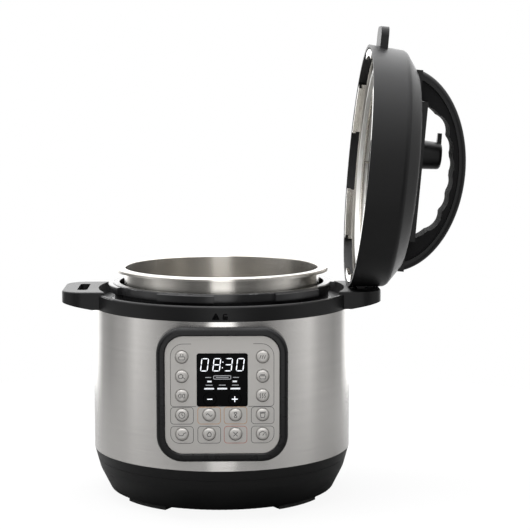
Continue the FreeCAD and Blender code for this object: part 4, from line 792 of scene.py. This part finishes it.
class COOKER_OT_stage(bpy.types.Operator):
    """Pale floor, white studio, soft boxes and the camera"""
    bl_idname = "cooker.stage"
    bl_label = "Stage"

    # How bright the studio looks in a mirror, from straight in front (0) round either side to behind (1)
    ROOM = ((0.0, 1.0), (0.05, 0.97), (0.08, 0.12), (0.2, 0.08), (0.3, 0.2), (0.38, 0.36), (0.46, 0.48),
            (0.53, 0.27), (0.65, 0.18), (0.74, 0.24), (0.79, 0.6), (0.85, 1.0), (1.0, 1.0))
    ROOM_LEVEL = 2.2
    # What a mirror sees straight overhead besides, fading to nothing at eye level
    OVERHEAD_LEVEL = 3.0
    # What falls on dull surfaces from all round
    FILL_LEVEL = 0.42
    # The floor lies just under the feet; the camera sees mostly its glow, and the rest takes the shadow
    FLOOR_DROP = 0.1 * MM
    FLOOR_SIDES = 96
    FLOOR_COLOUR = (0.2, 0.2, 0.2, 1.0)
    FLOOR_GLOW = 1.15
    GLOW_SHARE = 0.8
    # Place, aim, width and height in metres, and power in watts
    SOFT_BOXES = {
        "left_box": ((-1.7, -0.5, 1.1), (0.0, 0.0, 0.15), (0.5, 1.2), 8.0),
        "top_box": ((0.0, 0.1, 1.7), (0.05, 0.0, 0.2), (1.6, 1.2), 100.0),
    }
    # Width of the camera's frame in millimetres
    FRAME_WIDTH = 36.0

    def execute(self, context):
        stage = context.scene.cooker_stage
        context.scene.view_settings.view_transform = "Standard"
        self.floor(stage.floor_size)
        self.studio(context.scene)
        for name, setup in self.SOFT_BOXES.items():
            self.soft_box(name, *setup)
        self.camera(context.scene, stage)
        return {"FINISHED"}

    def floor(self, size):
        mesh = bpy.data.meshes.new("floor")
        form = bmesh.new()
        bmesh.ops.create_circle(form, cap_ends=True, segments=self.FLOOR_SIDES, radius=size)
        bmesh.ops.translate(form, verts=form.verts, vec=(0.0, 0.0, -self.FLOOR_DROP))
        form.to_mesh(mesh)
        form.free()
        floor = bpy.data.objects.new("floor", mesh)
        bpy.context.scene.collection.objects.link(floor)
        look = Finish("floor_white")
        seen = look.node("ShaderNodeLightPath", {}, {}, "Is Camera Ray")
        pale = look.node("ShaderNodeBsdfDiffuse", {}, {"Color": self.FLOOR_COLOUR})
        glow = look.node("ShaderNodeEmission", {}, {"Color": WHITE, "Strength": self.FLOOR_GLOW})
        surface = look.node("ShaderNodeMixShader", {}, {0: seen * self.GLOW_SHARE, 1: pale, 2: glow})
        look.node("ShaderNodeOutputMaterial", {}, {"Surface": surface})
        paint(mesh, look.material)

    def studio(self, scene):
        """White for the camera and through clear parts; in mirrors, strips of light and dark flags."""
        world = bpy.data.worlds.new("studio")
        world.use_nodes = True
        scene.world = world
        look = Tree(world.node_tree)
        look.tree.nodes.clear()
        way = look.node("ShaderNodeTexCoord", {}, {}, "Generated")
        across, back, rise = (look.node("ShaderNodeSeparateXYZ", {}, {0: way}, axis) for axis in "XYZ")
        side = look.node("ShaderNodeMath", {"operation": "ABSOLUTE"}, {0: across})
        turn = look.node("ShaderNodeMath", {"operation": "ARCTAN2"}, {0: side, 1: 0 - back}) / math.pi
        ring = look.node("ShaderNodeValToRGB", {}, {"Fac": turn})
        ramp = ring.socket.node.color_ramp
        while len(ramp.elements) < len(self.ROOM):
            ramp.elements.new(0.5)
        for stop, (place, tone) in zip(ramp.elements, self.ROOM):
            stop.position = place
            stop.color = (tone, tone, tone, 1.0)
        high = look.node("ShaderNodeMath", {"operation": "MAXIMUM"}, {0: rise, 1: 0.0})
        room = ring * self.ROOM_LEVEL + high * high * self.OVERHEAD_LEVEL
        camera, clear, mirror = (look.node("ShaderNodeLightPath", {}, {}, f"Is {kind} Ray")
                                 for kind in ("Camera", "Transmission", "Glossy"))
        lit_room = mirror * room + (1 - mirror) * self.FILL_LEVEL
        level = camera + clear + (1 - camera - clear) * lit_room
        sky = look.node("ShaderNodeBackground", {}, {"Color": WHITE, "Strength": level})
        look.node("ShaderNodeOutputWorld", {}, {"Surface": sky})

    def soft_box(self, name, place, aim, size, power):
        """A lamp that mirrors don't see, since they see the studio's own strips of light."""
        light = bpy.data.lights.new(name, "AREA")
        light.shape = "RECTANGLE"
        light.size, light.size_y = size
        light.energy = power
        lamp = bpy.data.objects.new(name, light)
        lamp.location = place
        lamp.rotation_euler = (Vector(aim) - Vector(place)).to_track_quat("-Z", "Y").to_euler()
        lamp.visible_glossy = False
        bpy.context.scene.collection.objects.link(lamp)

    def camera(self, scene, stage):
        lens = bpy.data.cameras.new("camera")
        lens.lens = stage.lens
        lens.sensor_width = self.FRAME_WIDTH
        camera = bpy.data.objects.new("camera", lens)
        camera.location = stage.camera_place
        camera.rotation_euler = stage.camera_turn
        scene.collection.objects.link(camera)
        scene.camera = camera


class COOKER_OT_finishes(bpy.types.Operator):
    """Every carried-over piece in the finish of its slot"""
    bl_idname = "cooker.finishes"
    bl_label = "Finishes"

    def execute(self, context):
        for node, item in NODES.items():
            paint(item.data, finish(SLOTS[node]))
        return {"FINISHED"}


class COOKER_OT_body(bpy.types.Operator):
    """Jacket, ring, base, pot and what shows round them, smooth"""
    bl_idname = "cooker.body"
    bl_label = "Body and pot"

    def execute(self, context):
        for node in ("outer_shell", "rim_ring", "base_tray", "rubber_feet", "bottom_plate", "outer_pot",
                     "locking_flange", "pot_base_disc", "power_inlet", "cup_bracket", "drip_cup",
                     "heating_plate", "sensor_cap"):
            skin(node)
        skin("inner_pot", "pot_steel", POT_CREASE)
        self.spring()
        return {"FINISHED"}

    def spring(self):
        """The sensor's spring, smooth, on a mesh of its own; it is not made to shorten from its foot as
        the cap sinks.
        """
        low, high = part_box("sensor_spring")
        travel = max(abs(end) for end in JOINTS["sensor_press"]["range_m"])
        foot = (0.0, 0.0, low.z)
        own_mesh(skin("sensor_spring"), "sensor_press", axis=(0.0, 0.0, 1.0), anchor=foot,
                  keep=1.0 - travel / (high.z - low.z))


class COOKER_OT_lid(bpy.types.Operator):
    """Lid, handle, seal and valves, smooth"""
    bl_idname = "cooker.lid"
    bl_label = "Lid"

    def execute(self, context):
        for node in ("lid_shell", "lid_inner", "handle_cover", "sealing_ring", "ring_rack", "steam_pipe",
                     "antiblock_shield", "steam_knob", "float_pin", "float_cap"):
            skin(node)
        skin("handle_grip", "grip_black")
        return {"FINISHED"}


class COOKER_OT_keys(bpy.types.Operator):
    """Bezel, film, window and keys with their signs"""
    bl_idname = "cooker.keys"
    bl_label = "Panel and keys"

    # Lit signs are this much bolder, and all signs turn at this radius in millimetres
    LIT_STROKE = 1.2
    SIGN_TURN = 0.6

    def execute(self, context):
        panel = context.scene.cooker_panel
        for node in ("panel_bezel", "panel_faceplate", "display_window", *KEYS):
            skin(node)
        for node in KEYS:
            colour, width = "ink", panel.sign_width
            if SLOTS[node] == "display_black":
                colour, width = "display_light", panel.sign_width * self.LIT_STROKE
            strokes = moved(KEY_SIGNS[node], *spot_of(node))
            printed(f"{node}_sign", strokes, node, colour, width, self.SIGN_TURN)
        return {"FINISHED"}


class COOKER_OT_print(bpy.types.Operator):
    """Lines printed round the keys"""
    bl_idname = "cooker.print"
    bl_label = "Panel print"

    # A key's frame: half its width, and its top and foot from the key's middle, in millimetres
    HALF_FRAME = 10.1
    FRAME_TOP = 6.9
    FRAME_FOOT = -8.3
    # A tall frame, from the middles of its end keys, with the reach of its open ends towards the display
    TALL_SIDE = 10.0
    TALL_TOP = 11.6
    TALL_FOOT = -9.9
    TOP_REACH = 8.3
    FOOT_REACH = 12.6
    # Radii of the corners, and of those beside the panel's low and high corners
    TURN = 3.0
    OUTER_TURN = 8.0
    TALL_TURN = 11.0

    def execute(self, context):
        width = context.scene.cooker_panel.line_width
        tall = [self.tall_frame("key_soup", "key_bean"), self.tall_frame("key_rice", "key_steam")]
        plain = [self.key_frame(node) for node in ("key_slow_cook", "key_yogurt", "key_keep_warm")]
        plain += [self.key_frame(node, self.OUTER_TURN) for node in ("key_saute", "key_pressure_cook")]
        warm = [self.key_frame(node) for node in ("key_pressure_level", "key_delay_start")]
        frames = {
            "tall_frames": (tall, "ink"),
            "key_frames": (plain, "ink"),
            "level_frames": (warm, "warm_ink"),
            "cancel_frame": ([self.key_frame("key_cancel")], "red_ink"),
        }
        for name, (strokes, colour) in frames.items():
            printed(name, strokes, "panel_faceplate", colour, width, self.TURN)
        return {"FINISHED"}

    def tall_frame(self, top_key, low_key):
        """An open frame beside the display, round a column of keys."""
        x, high = spot_of(top_key)
        low = spot_of(low_key)[1]
        out = math.copysign(1.0, x)
        side, top, foot = x + self.TALL_SIDE * out, high + self.TALL_TOP, low + self.TALL_FOOT
        return line((x - self.TOP_REACH * out, top), (side, top, self.TALL_TURN), (side, foot),
                    (x - self.FOOT_REACH * out, foot))

    def key_frame(self, key, outer_turn=TURN):
        """A closed frame round one key, with its own turn at the panel's outer low corner."""
        x, z = spot_of(key)
        out = math.copysign(self.HALF_FRAME, x)
        top, foot = z + self.FRAME_TOP, z + self.FRAME_FOOT
        return loop((x - out, top), (x - out, foot), (x + out, foot, outer_turn), (x + out, top))


class COOKER_OT_display(bpy.types.Operator):
    """Lit digits and level bars on the display"""
    bl_idname = "cooker.display"
    bl_label = "Display"

    # Places in millimetres from the window's middle: the digits' left edges and their foot
    LEFT_EDGES = (-19.2, -8.4, 2.0, 12.4)
    DIGIT_FOOT = 8.2
    # Dashes: left end, height and length
    COLON = ((-0.2, 11.0, 0.8), (0.3, 16.0, 0.8))
    LEVELS = ((-15.9, -7.8, 8.6), (-4.3, -7.8, 8.6), (7.3, -7.8, 8.6),
              (-13.2, -1.3, 3.8), (9.2, -1.3, 3.8))
    MARKS = ((-5.6, 2.3, 11.2), (-15.0, 2.3, 5.2), (9.6, 2.3, 5.2),
             (-14.6, -4.6, 6.0), (-3.0, -4.6, 6.0), (8.6, -4.6, 6.0))
    # The frame round the longest mark: left, right, low and high
    MARK_FRAME = (-7.6, 7.6, 0.8, 3.8)
    MARK_TURN = 0.6
    COLON_WIDTH = 0.9 * MM
    LEVEL_WIDTH = 1.5 * MM
    MARK_WIDTH = 0.7 * MM
    # Length of a bar as a share of the digit's width
    BAR_REACH = 0.98

    def execute(self, context):
        middle = spot_of("display_window")
        self.digits(context.scene.cooker_panel, (middle[1] + self.DIGIT_FOOT) * MM)
        colon, levels = dashes(self.COLON), dashes(self.LEVELS)
        marks = [framed(*self.MARK_FRAME), *dashes(self.MARKS)]
        for name, strokes, colour, width, turn in (
                ("display_colon", colon, "display_light", self.COLON_WIDTH, 0.0),
                ("display_levels", levels, "display_level", self.LEVEL_WIDTH, 0.0),
                ("display_marks", marks, "display_dim", self.MARK_WIDTH, self.MARK_TURN)):
            printed(name, moved(strokes, *middle), "display_window", colour, width, turn)
        return {"FINISHED"}

    def digits(self, panel, foot):
        """The lit bars of the four digits, which stand on a foot line."""
        width, height = panel.digit_width, panel.digit_height
        spots, upright = [], []
        for digit, left in zip(panel.shown, self.LEFT_EDGES):
            for name, (across, up, stands) in SEGMENTS.items():
                if name not in DARK_SEGMENTS[digit]:
                    spots.append((left * MM + across * width, up * height, 0.0))
                    upright.append(float(stands))
        mesh = bpy.data.meshes.new("digits")
        mesh.from_pydata(spots, [], [])
        mesh.attributes.new("upright", "FLOAT", "POINT").data.foreach_set("value", upright)
        bars = digit_shape().grow("digits", mesh, {
            "Bar length": width * self.BAR_REACH, "Bar width": panel.bar_width, "Slant": panel.slant,
            "Ink height": panel.ink_height, "Paint": finish("display_light")})
        for vertex in bars.vertices:
            vertex.co.y += foot
        lay_on(bars, "display_window")
        add_piece("display_digits", bars, "base")


class COOKER_OT_ring_marks(bpy.types.Operator):
    """Closing marks on the ring's front"""
    bl_idname = "cooker.ring_marks"
    bl_label = "Ring marks"

    # Millimetres from the pot's axis and above the shell's top edge
    ARROW = ((-8.4, 2.4), (-2.6, 2.4), (-5.5, 7.8))
    LOCK = ((1.0, 2.4), (4.6, 2.4), (4.6, 4.8), (1.0, 4.8))
    SHACKLE = line((1.4, 5.0), (1.4, 7.0, 0.9), (4.2, 7.0, 0.9), (4.2, 6.2))
    # Sizes of the outlines, one inside the other, that fill a mark
    ARROW_FILL = (1.0, 0.6, 0.2)
    LOCK_FILL = (1.0, 0.4)
    STROKE_WIDTH = 1.0 * MM

    def execute(self, context):
        shell_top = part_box("outer_shell")[1].z / MM
        arrow = nested(self.ARROW, self.ARROW_FILL)
        lock = nested(self.LOCK, self.LOCK_FILL)
        strokes = moved([*arrow, *lock, self.SHACKLE], 0.0, shell_top)
        printed("ring_marks", strokes, "rim_ring", "display_black", self.STROKE_WIDTH)
        return {"FINISHED"}


class COOKER_OT_screws(bpy.types.Operator):
    """Painted shade of the driver recesses: dark stars on the heads of the screws that show"""
    bl_idname = "cooker.screws"
    bl_label = "Screws"

    def execute(self, context):
        panel = context.scene.cooker_panel
        shape = recess_shade_shape()
        for node, axis in (("base_screws", -UP), ("lid_screws", -LID_AXIS)):
            mesh = bpy.data.meshes.new(f"{node}_recess_painted_shade")
            mesh.from_pydata(head_points(node, axis), [], [])
            # The heads are not cut; the display's near-black paints the shade their recesses would hold
            marks = shape.grow(mesh.name, mesh, {
                "Recess size": panel.recess_size, "Inlay height": panel.ink_height, "Head axis": axis,
                "Paint": finish("display_black")})
            add_piece(f"{node}_recess_painted_shade", marks, BODIES[node])
        return {"FINISHED"}


class COOKER_PT_sidebar(bpy.types.Panel):
    """Lists the steps of dressing the cooker"""
    bl_label = "Pressure Cooker"
    bl_idname = "COOKER_PT_sidebar"
    bl_space_type = "VIEW_3D"
    bl_region_type = "UI"
    bl_category = "Cooker"

    def draw(self, context):
        for operator in OPERATORS:
            self.layout.operator(operator.bl_idname)
        for name in SETTINGS:
            group = getattr(context.scene, name)
            for label in group.bl_rna.properties.keys():
                if label not in ("rna_type", "name"):
                    self.layout.prop(group, label)


OPERATORS = (COOKER_OT_stage, COOKER_OT_finishes, COOKER_OT_body, COOKER_OT_lid, COOKER_OT_keys,
             COOKER_OT_print, COOKER_OT_display, COOKER_OT_ring_marks, COOKER_OT_screws)
SETTINGS = {"cooker_finishes": CookerFinishes, "cooker_panel": CookerPanel, "cooker_stage": CookerStage}
CLASSES = (*SETTINGS.values(), *OPERATORS, COOKER_PT_sidebar)


def register():
    for item in CLASSES:
        bpy.utils.register_class(item)
    for name, group in SETTINGS.items():
        setattr(bpy.types.Scene, name, PointerProperty(type=group))


def unregister():
    for name in SETTINGS:
        delattr(bpy.types.Scene, name)
    for item in reversed(CLASSES):
        bpy.utils.unregister_class(item)


def main():
    register()
    for operator in OPERATORS:
        group, name = operator.bl_idname.split(".")
        getattr(getattr(bpy.ops, group), name)()


if __name__ == "__main__":
    main()
